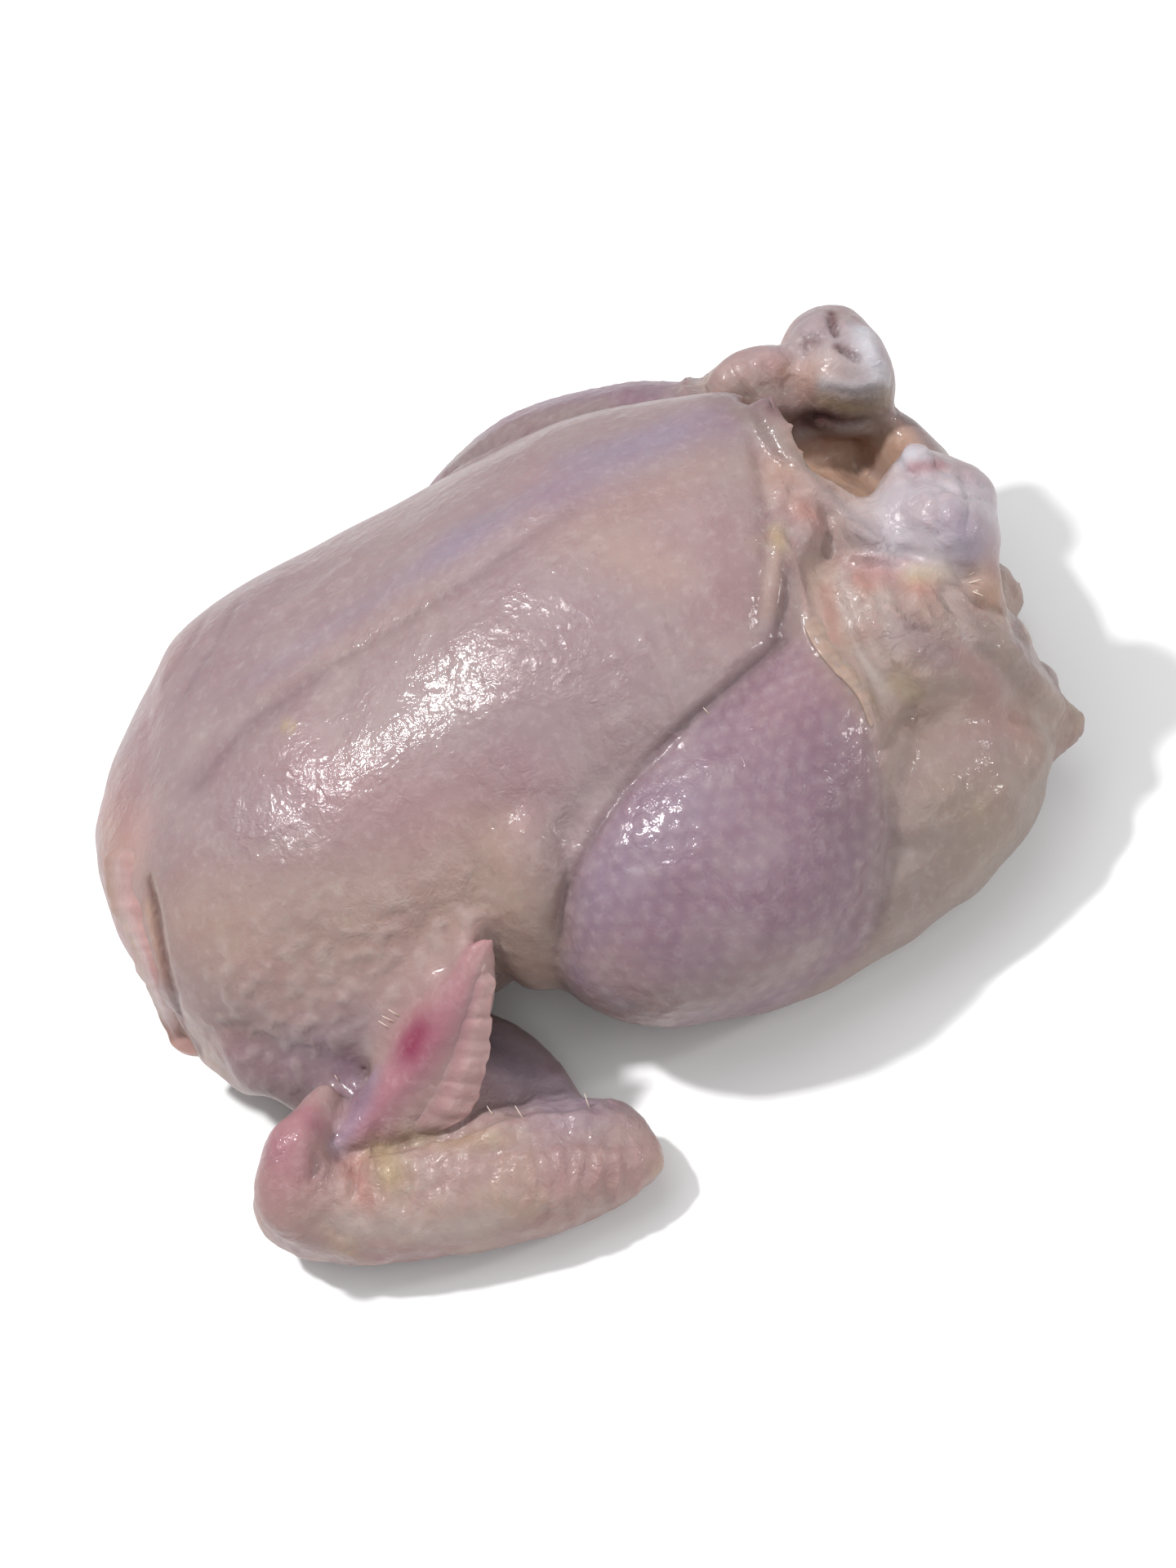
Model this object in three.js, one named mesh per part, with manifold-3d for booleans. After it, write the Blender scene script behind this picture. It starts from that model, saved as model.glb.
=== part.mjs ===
// A whole raw chicken, plucked and drawn, lying on its back with its legs tucked into the skin of the vent.
//
// Millimetres, +Z up. The neck end points along -X and the tail along +X. The bird's right side faces -Y.
// It is one piece of meat under one skin, so it is one solid: each muscle is a sphere drawn out along its
// bone, the muscles are joined, the body cavity is cut out of them, and the back is pressed flat.

import * as THREE from 'three';
import { mergeVertices } from 'three/addons/utils/BufferGeometryUtils.js';
import Module from 'manifold-3d';

const wasm = await Module();
wasm.setup();

// Driving sizes
const FRONT_X = -104; // front of the breast
const TAIL_X = 130; // end of the tail
const KEEL_TOP = 103; // height of the breastbone's tip
const KNEE_Y = 66; // how far each knee stands off the middle
const TABLE_Z = 0; // the surface that the back lies on

// A sphere drawn out along a smooth line. Each station is [x, y, z, half width, half height], and the width
// lies square to the line and to the direction called up. Blunt holds how full the two ends are, and relief
// scales the radius by the turn round the line and the share of the way along it.
function muscle(stations, { up = [0, 0, 1], blunt = [3, 3], around = 16, along = 14, relief = () => 1 } = {}) {
  const bone = new THREE.CatmullRomCurve3(stations.map(([x, y, z]) => new THREE.Vector3(x, y, z)));
  const girth = new THREE.CatmullRomCurve3(stations.map(([, , , w, h]) => new THREE.Vector3(w, h, 0)));
  const top = new THREE.Vector3(...up);
  const sphere = new THREE.SphereGeometry(1, around, along);
  const point = new THREE.Vector3();
  const positions = sphere.getAttribute('position');
  for (let i = 0; i < positions.count; i++) {
    if (i % (around + 1) === around) { // the last column closes the seam on the first
      point.fromBufferAttribute(positions, i - around);
      positions.setXYZ(i, point.x, point.y, point.z);
      continue;
    }
    point.fromBufferAttribute(positions, i);
    const share = THREE.MathUtils.clamp((1 - point.y) / 2, 0, 1);
    const turn = Math.atan2(point.z, point.x);
    const towardsEnd = Math.abs(2 * share - 1) ** blunt[share < 0.5 ? 0 : 1];
    const fullness = Math.sqrt(Math.max(0, 1 - towardsEnd)) * relief(turn, share);
    const tangent = bone.getTangent(share);
    const side = new THREE.Vector3().crossVectors(tangent, top).normalize();
    const lift = new THREE.Vector3().crossVectors(side, tangent).normalize();
    const size = girth.getPoint(share);
    point.copy(bone.getPoint(share));
    point.addScaledVector(side, Math.cos(turn) * fullness * size.x);
    point.addScaledVector(lift, Math.sin(turn) * fullness * size.y);
    positions.setXYZ(i, point.x, point.y, point.z);
  }
  return solid(sphere);
}

// A closed three.js geometry as a manifold solid with its faces pointing out.
function solid(geometry) {
  geometry.deleteAttribute('normal');
  geometry.deleteAttribute('uv');
  const merged = mergeVertices(geometry, 1e-3);
  const vertProperties = merged.getAttribute('position').array;
  const triVerts = new Uint32Array(merged.index.array);
  const build = () => new wasm.Manifold(new wasm.Mesh({ numProp: 3, vertProperties, triVerts }));
  const made = build();
  if (made.volume() > 0) return made;
  for (let i = 0; i < triVerts.length; i += 3) {
    [triVerts[i + 1], triVerts[i + 2]] = [triVerts[i + 2], triVerts[i + 1]];
  }
  return build();
}

// Back to three.js.
function geometryOf(made) {
  const mesh = made.getMesh();
  return new THREE.BufferGeometry()
    .setAttribute('position', new THREE.BufferAttribute(mesh.vertProperties, 3))
    .setIndex(new THREE.BufferAttribute(mesh.triVerts, 1));
}

const sideOf = (side, stations) => stations.map(([x, y, z, ...girth]) => [x, side * y, z, ...girth]);

// The breastbone lies in a shallow valley between the two breast muscles near the neck, and rises to a
// ridge under the skin towards the tail.
const VALLEY_DEPTH = 0.09;
const RIDGE_HEIGHT = 0.16;
const RIDGE_HALF_ANGLE = 0.42;
const bell = (x, width) => Math.exp(-((x / width) ** 2));
const breastbone = (turn, share) =>
  1 + bell(turn - Math.PI / 2, RIDGE_HALF_ANGLE) * THREE.MathUtils.lerp(-VALLEY_DEPTH, RIDGE_HEIGHT, share ** 2);

function trunk() {
  const back = muscle([
    [FRONT_X + 2, -2, 34, 46, 28],
    [-76, -4, 29, 72, 34],
    [-20, 0, 34, 66, 38],
    [40, 0, 34, 62, 38],
    [90, 0, 30, 60, 32],
    [TAIL_X - 8, 0, 28, 46, 24],
  ], { around: 24, along: 16, blunt: [6, 4] });
  const breast = muscle([
    [FRONT_X, 3, 52, 52, 28],
    [-78, -1, 46, 67, 39],
    [-35, -4, 46, 68, 45],
    [10, -4, 52, 66, 45],
    [50, -4, 64, 61, 38],
    [88, -1, KEEL_TOP - 17, 41, 22],
  ], { around: 40, along: 28, blunt: [3.4, 6], relief: breastbone });
  const ventRim = muscle([
    [82, 6, KEEL_TOP - 8, 7, 4],
    [89, -4, 91, 6, 4],
    [91, -18, 81, 6, 4],
    [100, -38, 78, 8, 5],
  ], { around: 10, along: 10, blunt: [6, 6] });
  const tail = muscle([
    [100, 0, 22, 26, 18],
    [118, 0, 15, 18, 13],
    [TAIL_X + 4, 0, 12, 9, 8],
  ], { around: 14, along: 12 });
  const rearWall = muscle([
    [112, -30, 50, 9, 18],
    [119, -12, 44, 8, 16],
    [120, 12, 44, 8, 16],
    [112, 36, 52, 9, 18],
  ], { around: 14, along: 16, blunt: [5, 5] });
  const neckSkin = muscle([
    [-96, -44, 17, 18, 5],
    [-101, -24, 22, 22, 5],
    [-102, 4, 30, 26, 6],
    [-96, 32, 30, 22, 5],
  ], { around: 14, along: 14, up: [1, 0, 0], blunt: [5, 5] });
  return [back, breast, ventRim, tail, rearWall, neckSkin];
}

// Thigh, drumstick, knuckle where the foot was cut off, and the skin drawn over the shank from the rump.
function leg(side, calf, shank, knuckle) {
  const thigh = muscle(sideOf(side, [
    [127, 42, 22, 20, 20],
    [90, 52, 27, 38, 29],
    [44, 61, 26, 39, 28],
    [12, 62, 28, 32, 28],
    [-8, 60, 30, 18, 20],
  ]), { around: 18, along: 16 });
  const drumstick = muscle([...calf, shank, knuckle], { around: 20, along: 20, blunt: [4, 4] });
  const [x, y, z] = knuckle;
  const condyles = muscle(
    [[x - 3, y + 16, z + 2, 14, 14], [x, y, z, 13, 13], [x - 3, y - 16, z, 15, 14]],
    { around: 14, along: 12, up: [1, 0, 0.4], blunt: [4, 4] },
  );
  const cuff = muscle([
    [shank[0] - 12, shank[1] + side * 5, shank[2] - 4, 21, 23],
    [shank[0] + 6, shank[1] + side * 5, shank[2] - 9, 22, 25],
    ...sideOf(side, [
      [100, 46, 40, 22, 25],
      [117, 50, 24, 15, 18],
    ]),
  ], { around: 18, along: 18, blunt: [5, 5] });
  const skinPoint = muscle(sideOf(side, [[106, 50, 26, 14, 14], [129, 57, 19, 6, 6]]), { around: 10, along: 8 });
  return [thigh, drumstick, condyles, cuff, skinPoint];
}

// Upper arm out from the shoulder, forearm forward along the table, hand and thumb folded back on the flank.
function wing(side, shift) {
  const at = (stations) => sideOf(side, stations.map(([x, y, z, ...girth]) => [x, y - shift, z, ...girth]));
  const arm = muscle(at([[-84, 42, 30, 22, 20], [-54, 72, 20, 18, 15], [-30, 98, 14, 15, 12]]), { along: 16 });
  const elbow = muscle(at([[-34, 102, 13, 12, 12], [-3, 114, 12, 11, 10]]), { around: 14, along: 10 });
  const forearm = muscle(
    at([[0, 119, 12, 12, 12], [-40, 108, 15, 17, 15], [-68, 100, 16, 17, 15], [-94, 91, 15, 14, 14]]),
    { along: 16, blunt: [4, 4] },
  );
  const outward = [0, side * 0.75, 0.66];
  const hand = muscle(
    at([[-86, 89, 20, 11, 11], [-70, 87, 29, 16, 8], [-48, 84, 39, 17, 6], [-30, 81, 49, 12, 5], [-18, 78, 60, 3, 3]]),
    { up: outward, around: 14, along: 16 },
  );
  const thumb = muscle(at([[-78, 84, 27, 7, 6], [-76, 83, 36, 8, 6], [-63, 85, 44, 3, 3]]), {
    up: outward, around: 12, along: 10,
  });
  return [arm, elbow, forearm, hand, thumb];
}

// The right leg stands a little further out than the left. Each list is the calf, then shank and knuckle.
const nearLeg = leg(
  -1,
  [[-14, -KNEE_Y, 33, 18, 20], [8, -KNEE_Y - 1, 36, 34, 31], [35, -64, 40, 40, 33], [60, -55, 48, 32, 28]],
  [84, -38, 62, 18, 18],
  [112, -27, 71, 14, 14],
);
const farLeg = leg(
  1,
  [[-18, 60, 29, 16, 18], [4, KNEE_Y - 4, 30, 31, 30], [32, 59, 36, 36, 35], [58, 52, 46, 29, 30]],
  [84, 42, 58, 18, 18],
  [110, 36, 71, 14, 14],
);
const FAR_WING_TUCK = 20; // how much closer to the body the left wing lies
const pieces = [...trunk(), ...nearLeg, ...farLeg, ...wing(-1, 0), ...wing(1, FAR_WING_TUCK)];
// The hollow body, open between the hocks. Its line drops from the mouth towards the neck.
const cavity = muscle(
  [[104, 3, 94, 19, 18], [86, 2, 72, 24, 20], [46, 0, 54, 26, 20], [2, 0, 46, 18, 14]],
  { around: 18, along: 16 },
);
const TABLE_SIDE = 400;
const TABLE_DEPTH = 60;
const table = solid(
  new THREE.BoxGeometry(TABLE_SIDE, TABLE_SIDE, TABLE_DEPTH).translate(0, 0, TABLE_Z - TABLE_DEPTH / 2),
);

const carcass = pieces.reduce((joined, piece) => joined.add(piece)).subtract(cavity).subtract(table);

const skin = new THREE.MeshStandardMaterial({ color: 0xc9aaa4, roughness: 0.35, metalness: 0 });
const chicken = new THREE.Mesh(geometryOf(carcass), skin);
chicken.name = 'chicken';

const whole = new THREE.Group();
whole.add(chicken);
export default whole;
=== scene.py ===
# %% [markdown]
# # A whole raw chicken
#
# The bird is plucked and drawn and lies on its back: breast up, legs tucked in, one wing folded out on the
# table. It is one piece of meat under one wet skin, so one big mesh carries nearly all of it. The solid model
# gives that mesh its size and place. Blender adds what a solid of flat faces can't show: soft muscle, creases
# where skin meets skin, pleats, pores, fat and gristle, and the colours and the wet shine of raw skin.

# %% Load the frame
import math
import random

import bpy
import numpy as np
from mathutils import Matrix, Vector, noise
from mathutils.bvhtree import BVHTree
from mathutils.kdtree import KDTree


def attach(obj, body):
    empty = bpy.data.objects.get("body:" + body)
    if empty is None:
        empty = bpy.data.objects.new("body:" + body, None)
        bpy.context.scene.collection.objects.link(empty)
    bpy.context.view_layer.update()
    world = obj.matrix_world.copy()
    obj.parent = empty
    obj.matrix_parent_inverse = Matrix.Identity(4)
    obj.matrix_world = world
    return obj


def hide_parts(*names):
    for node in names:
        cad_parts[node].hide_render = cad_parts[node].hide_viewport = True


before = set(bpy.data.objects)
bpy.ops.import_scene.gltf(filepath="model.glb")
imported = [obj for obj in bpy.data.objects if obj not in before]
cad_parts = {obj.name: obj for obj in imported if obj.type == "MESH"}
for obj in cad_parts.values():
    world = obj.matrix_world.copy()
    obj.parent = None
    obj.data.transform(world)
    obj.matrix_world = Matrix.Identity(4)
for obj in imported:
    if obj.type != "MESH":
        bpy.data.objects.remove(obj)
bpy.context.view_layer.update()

MM = 0.001

# %% [markdown]
# ## The camera
#
# The picture was taken from above and a little behind the legs, with the camera rolled, so that the bird lies
# slantwise in the frame. A camera is set by the point it looks at, two angles, a roll and a distance. Its
# lens is worked out from the focal length in pixels of the picture. The same numbers later give the line of
# sight through any pixel, which puts small things such as a crease or a spot where the picture shows them.

# %% Camera
PICTURE_WIDTH = 1440
PICTURE_HEIGHT = 1920
AIM = Vector((0.0146, -0.0407, 0.050))
AZIMUTH = math.radians(3.2)
ELEVATION = math.radians(46.92)
ROLL = math.radians(-25.13)
DISTANCE = 0.550
FOCAL_PIXELS = 2881
SENSOR = 36

towards_camera = Vector((math.sin(AZIMUTH) * math.cos(ELEVATION),
                         -math.cos(AZIMUTH) * math.cos(ELEVATION),
                         math.sin(ELEVATION)))
level = Vector((math.cos(AZIMUTH), math.sin(AZIMUTH), 0))
steep = towards_camera.cross(level)
right = math.cos(ROLL) * level + math.sin(ROLL) * steep
up = math.cos(ROLL) * steep - math.sin(ROLL) * level
EYE = AIM + towards_camera * DISTANCE

bpy.ops.object.select_all(action="DESELECT")
bpy.ops.object.camera_add(location=EYE)
camera = bpy.context.object
camera.name = "camera"
camera.matrix_world = Matrix.Translation(EYE) @ Matrix((right, up, towards_camera)).transposed().to_4x4()
camera.data.sensor_fit = "VERTICAL"
camera.data.sensor_height = SENSOR
camera.data.lens = FOCAL_PIXELS / PICTURE_HEIGHT * SENSOR
bpy.context.scene.camera = camera
print("lens:", round(camera.data.lens, 1), "mm")


def sight(px, py):
    """The direction from the eye through a pixel of the picture."""
    across = (px - PICTURE_WIDTH / 2) / FOCAL_PIXELS
    down = (py - PICTURE_HEIGHT / 2) / FOCAL_PIXELS
    return (right * across - up * down - towards_camera).normalized()


def beside(px, py, depth_of):
    """The point seen at a pixel, as far from the camera as another point is."""
    depth = (EYE - Vector(depth_of)).dot(towards_camera)
    way = sight(px, py)
    return EYE + way * (depth / -way.dot(towards_camera))

# %% [markdown]
# ## The flesh
#
# The solid bird is made of muscles with flat faces. A copy of it is merged, and a voxel remesh turns it into
# one even net of small squares, as a sculptor would start. Relaxing the net then rounds the muscles. A plain
# smooth would also shrink the bird and wash out the folds between the muscles, so each pull inwards is
# followed by a push outwards, and the net is held still along the folds. A sculptor would use a smooth brush
# with a mask. Brushes need a window, so loops over the net's points do the same here.

# %% Small helpers
VOXEL = 1.86 * MM


def only(piece):
    """Selects one piece and makes it the active one."""
    bpy.ops.object.select_all(action="DESELECT")
    piece.select_set(True)
    bpy.context.view_layer.objects.active = piece


def apply_modifier(piece, kind, **settings):
    """Adds a modifier with its settings and applies it."""
    only(piece)
    modifier = piece.modifiers.new(kind.lower(), kind)
    for name, value in settings.items():
        setattr(modifier, name, value)
    bpy.ops.object.modifier_apply(modifier=modifier.name)


def join(pieces, into):
    """Joins pieces into one of them."""
    bpy.ops.object.select_all(action="DESELECT")
    for piece in pieces:
        piece.select_set(True)
    bpy.context.view_layer.objects.active = into
    bpy.ops.object.join()


def merge(piece, distance):
    """Makes one point of those that lie closer together than the distance."""
    only(piece)
    bpy.ops.object.mode_set(mode="EDIT")
    bpy.ops.mesh.select_all(action="SELECT")
    bpy.ops.mesh.remove_doubles(threshold=distance)
    bpy.ops.object.mode_set(mode="OBJECT")


def points_of(mesh):
    """The places of a mesh's points."""
    points = np.empty(len(mesh.vertices) * 3, np.float32)
    mesh.vertices.foreach_get("co", points)
    return points.reshape(-1, 3).astype(float)


def triangles_of(mesh):
    """The three points of each triangle of a mesh."""
    mesh.calc_loop_triangles()
    triangles = np.empty(len(mesh.loop_triangles) * 3, np.int32)
    mesh.loop_triangles.foreach_get("vertices", triangles)
    return triangles.reshape(-1, 3)


def tree_of(points, triangles):
    """Finds where a line meets the triangles, and what lies nearest to a point."""
    return BVHTree.FromPolygons(points.tolist(), triangles.tolist())


def ramp(values, low, high):
    """0 below low, 1 above high, and smooth between."""
    t = np.clip((values - low) / (high - low), 0, 1)
    return t * t * (3 - 2 * t)


def look(tree, px, py):
    """Where the line of sight through a pixel meets the bird, and the way the skin faces there."""
    place, normal, _, _ = tree.ray_cast(EYE, sight(px, py))
    return place, normal


# %% Copy the solid
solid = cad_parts["chicken"]
carcass = solid.copy()
carcass.data = solid.data.copy()
carcass.parent = None
for key in [k for k in carcass.keys() if k.startswith("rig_")]:
    del carcass[key]
bpy.context.scene.collection.objects.link(carcass)
carcass.name = "carcass"
merge(carcass, 1e-5)
body = points_of(carcass.data)
body_faces = triangles_of(carcass.data)
print("copy of the solid:", len(body), "points")

# %% [markdown]
# ## The big shape
#
# The solid model's muscles are plain drawn out balls. Dragging the flesh at a few places brings the shape
# closer: the sharp tip of the breastbone, the flank beside the round knee. The hand of the wing is a flat
# blade. Its leading edge is one straight bone, so the blade is squeezed across until that edge lies where the
# bone is. The blade is squeezed first, and the flesh is dragged after that.

# %% Drag the flesh
PIXEL = DISTANCE / FOCAL_PIXELS
GRABS = [  # pixel, reach in millimetres, and the drag in pixels of the picture
    ((896, 512), 14, (8, -26)),  # the tip of the breastbone
    ((760, 515), 24, (-2, -12)),  # the breast behind its ridge
    ((848, 474), 12, (2, 13)),  # the far edge of the breast, in three places
    ((520, 612), 18, (3, 8)),
    ((385, 690), 12, (5, 9)),
    ((650, 1120), 13, (34, 4)),  # the flank beside the knee, in three places
    ((655, 1060), 9, (22, -4)),
    ((660, 1180), 9, (22, 6)),
    ((1305, 880), 8, (-16, -8)),  # the point of skin on the rump
]


def grab(pixel, reach, drag):
    """Drags the flesh seen at a pixel, less and less with the distance from it."""
    place, _ = look(tree_of(body, body_faces), *pixel)
    move = (right * drag[0] - up * drag[1]) * PIXEL
    share = np.exp(-((body - np.array(place)) ** 2).sum(1) / reach ** 2)
    body[:] += share[:, None] * np.array(move)


HAND = np.array([  # middle of the blade, then half width, leading and trailing edge wanted, half thickness
    (-86, -89, 20, 11, -7, 12, 11),
    (-70, -87, 29, 16, 2, 19, 8),
    (-48, -84, 39, 17, 0, 21, 6),
    (-30, -81, 49, 12, -2.5, 10.5, 5),
    (-18, -78, 60, 3, -3, 3, 3),
]) * MM
HAND_FACES = np.array((-0.18, -0.80, 0.57))
SOFT_EDGE = 5 * MM


def squeeze_hand():
    """Moves the blade of the hand across, so that its two edges come to lie where HAND wants them."""
    middle = HAND[:, :3]
    legs = np.diff(middle, axis=0)
    best = np.full(len(body), np.inf)
    found = [np.zeros((len(body), 3)), np.zeros((len(body), 4)), np.zeros((len(body), 3))]
    for i, leg in enumerate(legs):
        share = ((body - middle[i]) @ leg / (leg @ leg)).clip(0, 1)
        foot = middle[i] + share[:, None] * leg
        apart = np.linalg.norm(body - foot, axis=1)
        closer = apart < best
        best[closer] = apart[closer]
        found[0][closer] = foot[closer]
        found[1][closer] = (HAND[i, 3:] + share[:, None] * (HAND[i + 1, 3:] - HAND[i, 3:]))[closer]
        found[2][closer] = leg / np.linalg.norm(leg)
    foot, (half, lead, trail, thick), bone = found[0], found[1].T, found[2]
    side = np.cross(bone, HAND_FACES)
    side /= np.maximum(np.linalg.norm(side, axis=1, keepdims=True), 1e-12)
    across = ((body - foot) * side).sum(1)
    out = (body - foot) @ HAND_FACES
    within = ramp(-np.abs(across), -half - 2 * SOFT_EDGE, -half - SOFT_EDGE * 0.4)
    within *= ramp(-np.abs(out), -thick - SOFT_EDGE, -thick - SOFT_EDGE * 0.2)
    within *= ramp(best, 0, 1e-6) * (np.abs(((body - foot) * bone).sum(1)) < SOFT_EDGE)
    wanted = lead + (np.clip(across, -half, half) + half) * (trail - lead) / (2 * np.maximum(half, 1e-6))
    wanted += across - np.clip(across, -half, half)
    body[:] += side * ((wanted - across) * within)[:, None]


squeeze_hand()
for pixel, reach, drag in GRABS:
    grab(pixel, reach * MM, drag)
carcass.data.vertices.foreach_set("co", body.astype(np.float32).ravel())
carcass.data.update()
plain = tree_of(body, body_faces)
print("drags:", len(GRABS))

# %% [markdown]
# ## Lumps
#
# Where the bird was opened, small lumps of fat, gristle and bunched skin sit on the muscles. Each is a drawn
# out ball laid between two pixels of the picture, most sunk into the skin below by a share of its radius.
# They are joined to the copy before the remesh, so they melt into the same skin.

# %% Lay the lumps
def sunk(pixel, radius, share):
    """Under the skin seen at a pixel, by a share of the radius."""
    place, normal = look(plain, *pixel)
    return place - normal * radius * share


def level_with(pixel, radius, other):
    """At a pixel and as far from the camera as the skin at another one."""
    return beside(*pixel, look(plain, *other)[0])


def over_table(pixel, radius, height):
    """At a pixel and at a height over the table, in millimetres."""
    way = sight(*pixel)
    return EYE + way * ((height * MM - EYE.z) / way.z)


BALL_STEPS = 3
LUMPS = [  # from and to in pixels, radius in millimetres, how it is placed
    # the rim of skin from the breastbone's tip, across the opening, to the near hock
    ((905, 496), (935, 530), 3.0, sunk, 0.7),
    ((930, 522), (966, 566), 2.3, level_with, (925, 530)),
    ((962, 560), (1008, 612), 2.4, level_with, (962, 575)),
    ((1004, 606), (1047, 650), 2.6, level_with, (1000, 620)),
    ((1042, 646), (1088, 678), 2.8, level_with, (1050, 660)),
    # fat and skin beside the opening
    ((972, 600), (996, 612), 5.6, sunk, 0.3),
    ((985, 620), (990, 655), 6.5, sunk, 0.5),
    ((952, 645), (954, 690), 2.6, sunk, 0.5),
    ((947, 690), (938, 760), 1.9, sunk, 0.5),
    ((962, 684), (955, 740), 1.7, sunk, 0.4),
    # the lobes of the near knuckle and the small one on its top
    ((1114, 566), (1126, 560), 4.4, sunk, 0.35),
    ((1196, 588), (1206, 604), 8.0, sunk, 0.7),
    ((1085, 600), (1100, 640), 9.0, sunk, 0.75),
    ((1150, 640), (1185, 655), 9.0, sunk, 0.8),
    # the lobes of the far knuckle
    ((985, 414), (1000, 402), 6.0, sunk, 0.6),
    ((1060, 410), (1080, 440), 7.0, sunk, 0.7),
    ((1000, 500), (1050, 512), 7.0, sunk, 0.8),
    # bunched skin at the far ankle
    ((893, 476), (922, 450), 6.0, level_with, (970, 440)),
    ((918, 470), (945, 452), 7.0, level_with, (970, 440)),
    ((930, 490), (960, 500), 5.0, level_with, (970, 480)),
    # fat where the near shank was cut, and the brown end of its skin
    ((1124, 700), (1160, 690), 3.6, sunk, 0.2),
    ((1198, 700), (1214, 730), 5.0, sunk, 0.4),
    ((1195, 750), (1226, 762), 2.2, sunk, 0.4),
    ((1262, 826), (1290, 862), 7.0, sunk, 0.6),
    ((1284, 900), (1262, 942), 6.0, sunk, 0.5),
    # the bone along the leading edge of the hand, thicker towards the wrist
    ((584, 1160), (556, 1198), 2.6, sunk, 0.5),
    ((560, 1194), (520, 1246), 3.6, sunk, 0.55),
    ((522, 1244), (482, 1300), 4.6, sunk, 0.6),
    ((484, 1296), (446, 1350), 5.2, sunk, 0.65),
    ((448, 1348), (424, 1392), 5.4, sunk, 0.7),
    # thumb
    ((410, 1326), (400, 1344), 2.2, level_with, (430, 1350)),
    ((398, 1346), (378, 1376), 4.2, level_with, (430, 1360)),
    ((380, 1376), (362, 1404), 5.2, level_with, (400, 1400)),
    ((364, 1404), (356, 1440), 7.6, level_with, (370, 1470)),
    ((356, 1440), (356, 1476), 8.2, level_with, (370, 1480)),
    ((392, 1424), (402, 1470), 7.0, sunk, 0.5),
    ((352, 1488), (380, 1508), 7.0, sunk, 0.6),
    # the skin between the flank and the elbow
    ((596, 1270), (694, 1368), 8.0, over_table, 10),
    ((590, 1300), (660, 1372), 8.5, over_table, 12),
    # the flank under the leading edge of the hand
    ((468, 1290), (492, 1252), 5.5, sunk, 0.2),
    ((500, 1230), (548, 1168), 5.0, sunk, 0.3),
    ((546, 1168), (584, 1128), 4.6, sunk, 0.3),
    ((446, 1292), (434, 1345), 8.0, over_table, 24),
    ((424, 1346), (410, 1372), 4.5, over_table, 24),
    # the flank beside the knee
    ((650, 1056), (664, 1172), 13.0, sunk, 0.3),
    # the torn fold on the wrist
    ((436, 1428), (446, 1474), 3.0, sunk, 0.35),
    ((458, 1420), (462, 1440), 2.6, sunk, 0.35),
]
lumps = []
for start, end, radius, place, how_far in LUMPS:
    a, b = (place(pixel, radius * MM, how_far) for pixel in (start, end))
    bpy.ops.mesh.primitive_ico_sphere_add(subdivisions=BALL_STEPS, radius=radius * MM, location=(a + b) / 2)
    ball = bpy.context.object
    ball.rotation_euler = (b - a).to_track_quat("Z", "Y").to_euler()
    ball.scale = (1, 1, 1 + (b - a).length / 2 / (radius * MM))
    lumps.append(ball)
print("lumps:", len(lumps))

# %% [markdown]
# ## One skin over all
#
# The lumps are joined to the body and one voxel remesh melts them together into an even net.

# %% Join and remesh
join([*lumps, carcass], carcass)
apply_modifier(carcass, "REMESH", mode="VOXEL", voxel_size=VOXEL)
print("net:", len(carcass.data.vertices), "points")


# %% A net that can be worked on
class Net:
    """The points of a mesh as arrays, with their normals and neighbours."""

    def __init__(self, piece):
        mesh = piece.data
        self.piece = piece
        self.points = points_of(mesh)
        self.triangles = triangles_of(mesh)
        self.edges = np.empty(len(mesh.edges) * 2, np.int32)
        mesh.edges.foreach_get("vertices", self.edges)
        self.edges = self.edges.reshape(-1, 2)
        count = len(self.points)
        self.degree = np.bincount(self.edges.ravel(), minlength=count)[:, None]
        self.find_normals()

    def find_normals(self):
        """The way the net faces at each point, as the mean of its triangles."""
        a, b, c = (self.points[self.triangles[:, i]] for i in range(3))
        face = np.cross(b - a, c - a)
        normals = self.gather([(self.triangles[:, i], face) for i in range(3)])
        self.normals = normals / np.maximum(np.linalg.norm(normals, axis=1, keepdims=True), 1e-12)

    def gather(self, sums):
        """Adds values up at the points that they belong to."""
        count = len(self.points)
        width = sums[0][1].shape[1]
        total = np.zeros((count, width))
        for where, values in sums:
            for axis in range(width):
                total[:, axis] += np.bincount(where, weights=values[:, axis], minlength=count)
        return total

    def mean_of_neighbours(self, values):
        """For each point the mean of a value over the points next to it."""
        first, second = self.edges[:, 0], self.edges[:, 1]
        return self.gather([(first, values[second]), (second, values[first])]) / self.degree

    def relax(self, rounds, hold, pull=0.6, push=0.62):
        """Rounds the net off without shrinking it. Hold says where it stays as it is."""
        loose = (1 - np.broadcast_to(hold, len(self.points)))[:, None]
        for _ in range(rounds):
            for step in (pull, -push):
                self.points += step * loose * (self.mean_of_neighbours(self.points) - self.points)
        self.find_normals()

    def spread(self, values, rounds):
        """Lets values run over to the points next to them."""
        values = values.reshape(-1, 1)
        for _ in range(rounds):
            values = 0.5 * values + 0.5 * self.mean_of_neighbours(values)
        return values.ravel()

    def hollowness(self):
        """Above zero where the net folds inwards, as a share of a cell."""
        return ((self.mean_of_neighbours(self.points) - self.points) * self.normals).sum(1) / VOXEL

    def tree(self):
        """The net as it is now, to be asked where a line meets it."""
        return tree_of(self.points, self.triangles)

    def store(self):
        """Writes the points back to the piece."""
        self.piece.data.vertices.foreach_set("co", self.points.astype(np.float32).ravel())
        self.piece.data.update()


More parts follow.
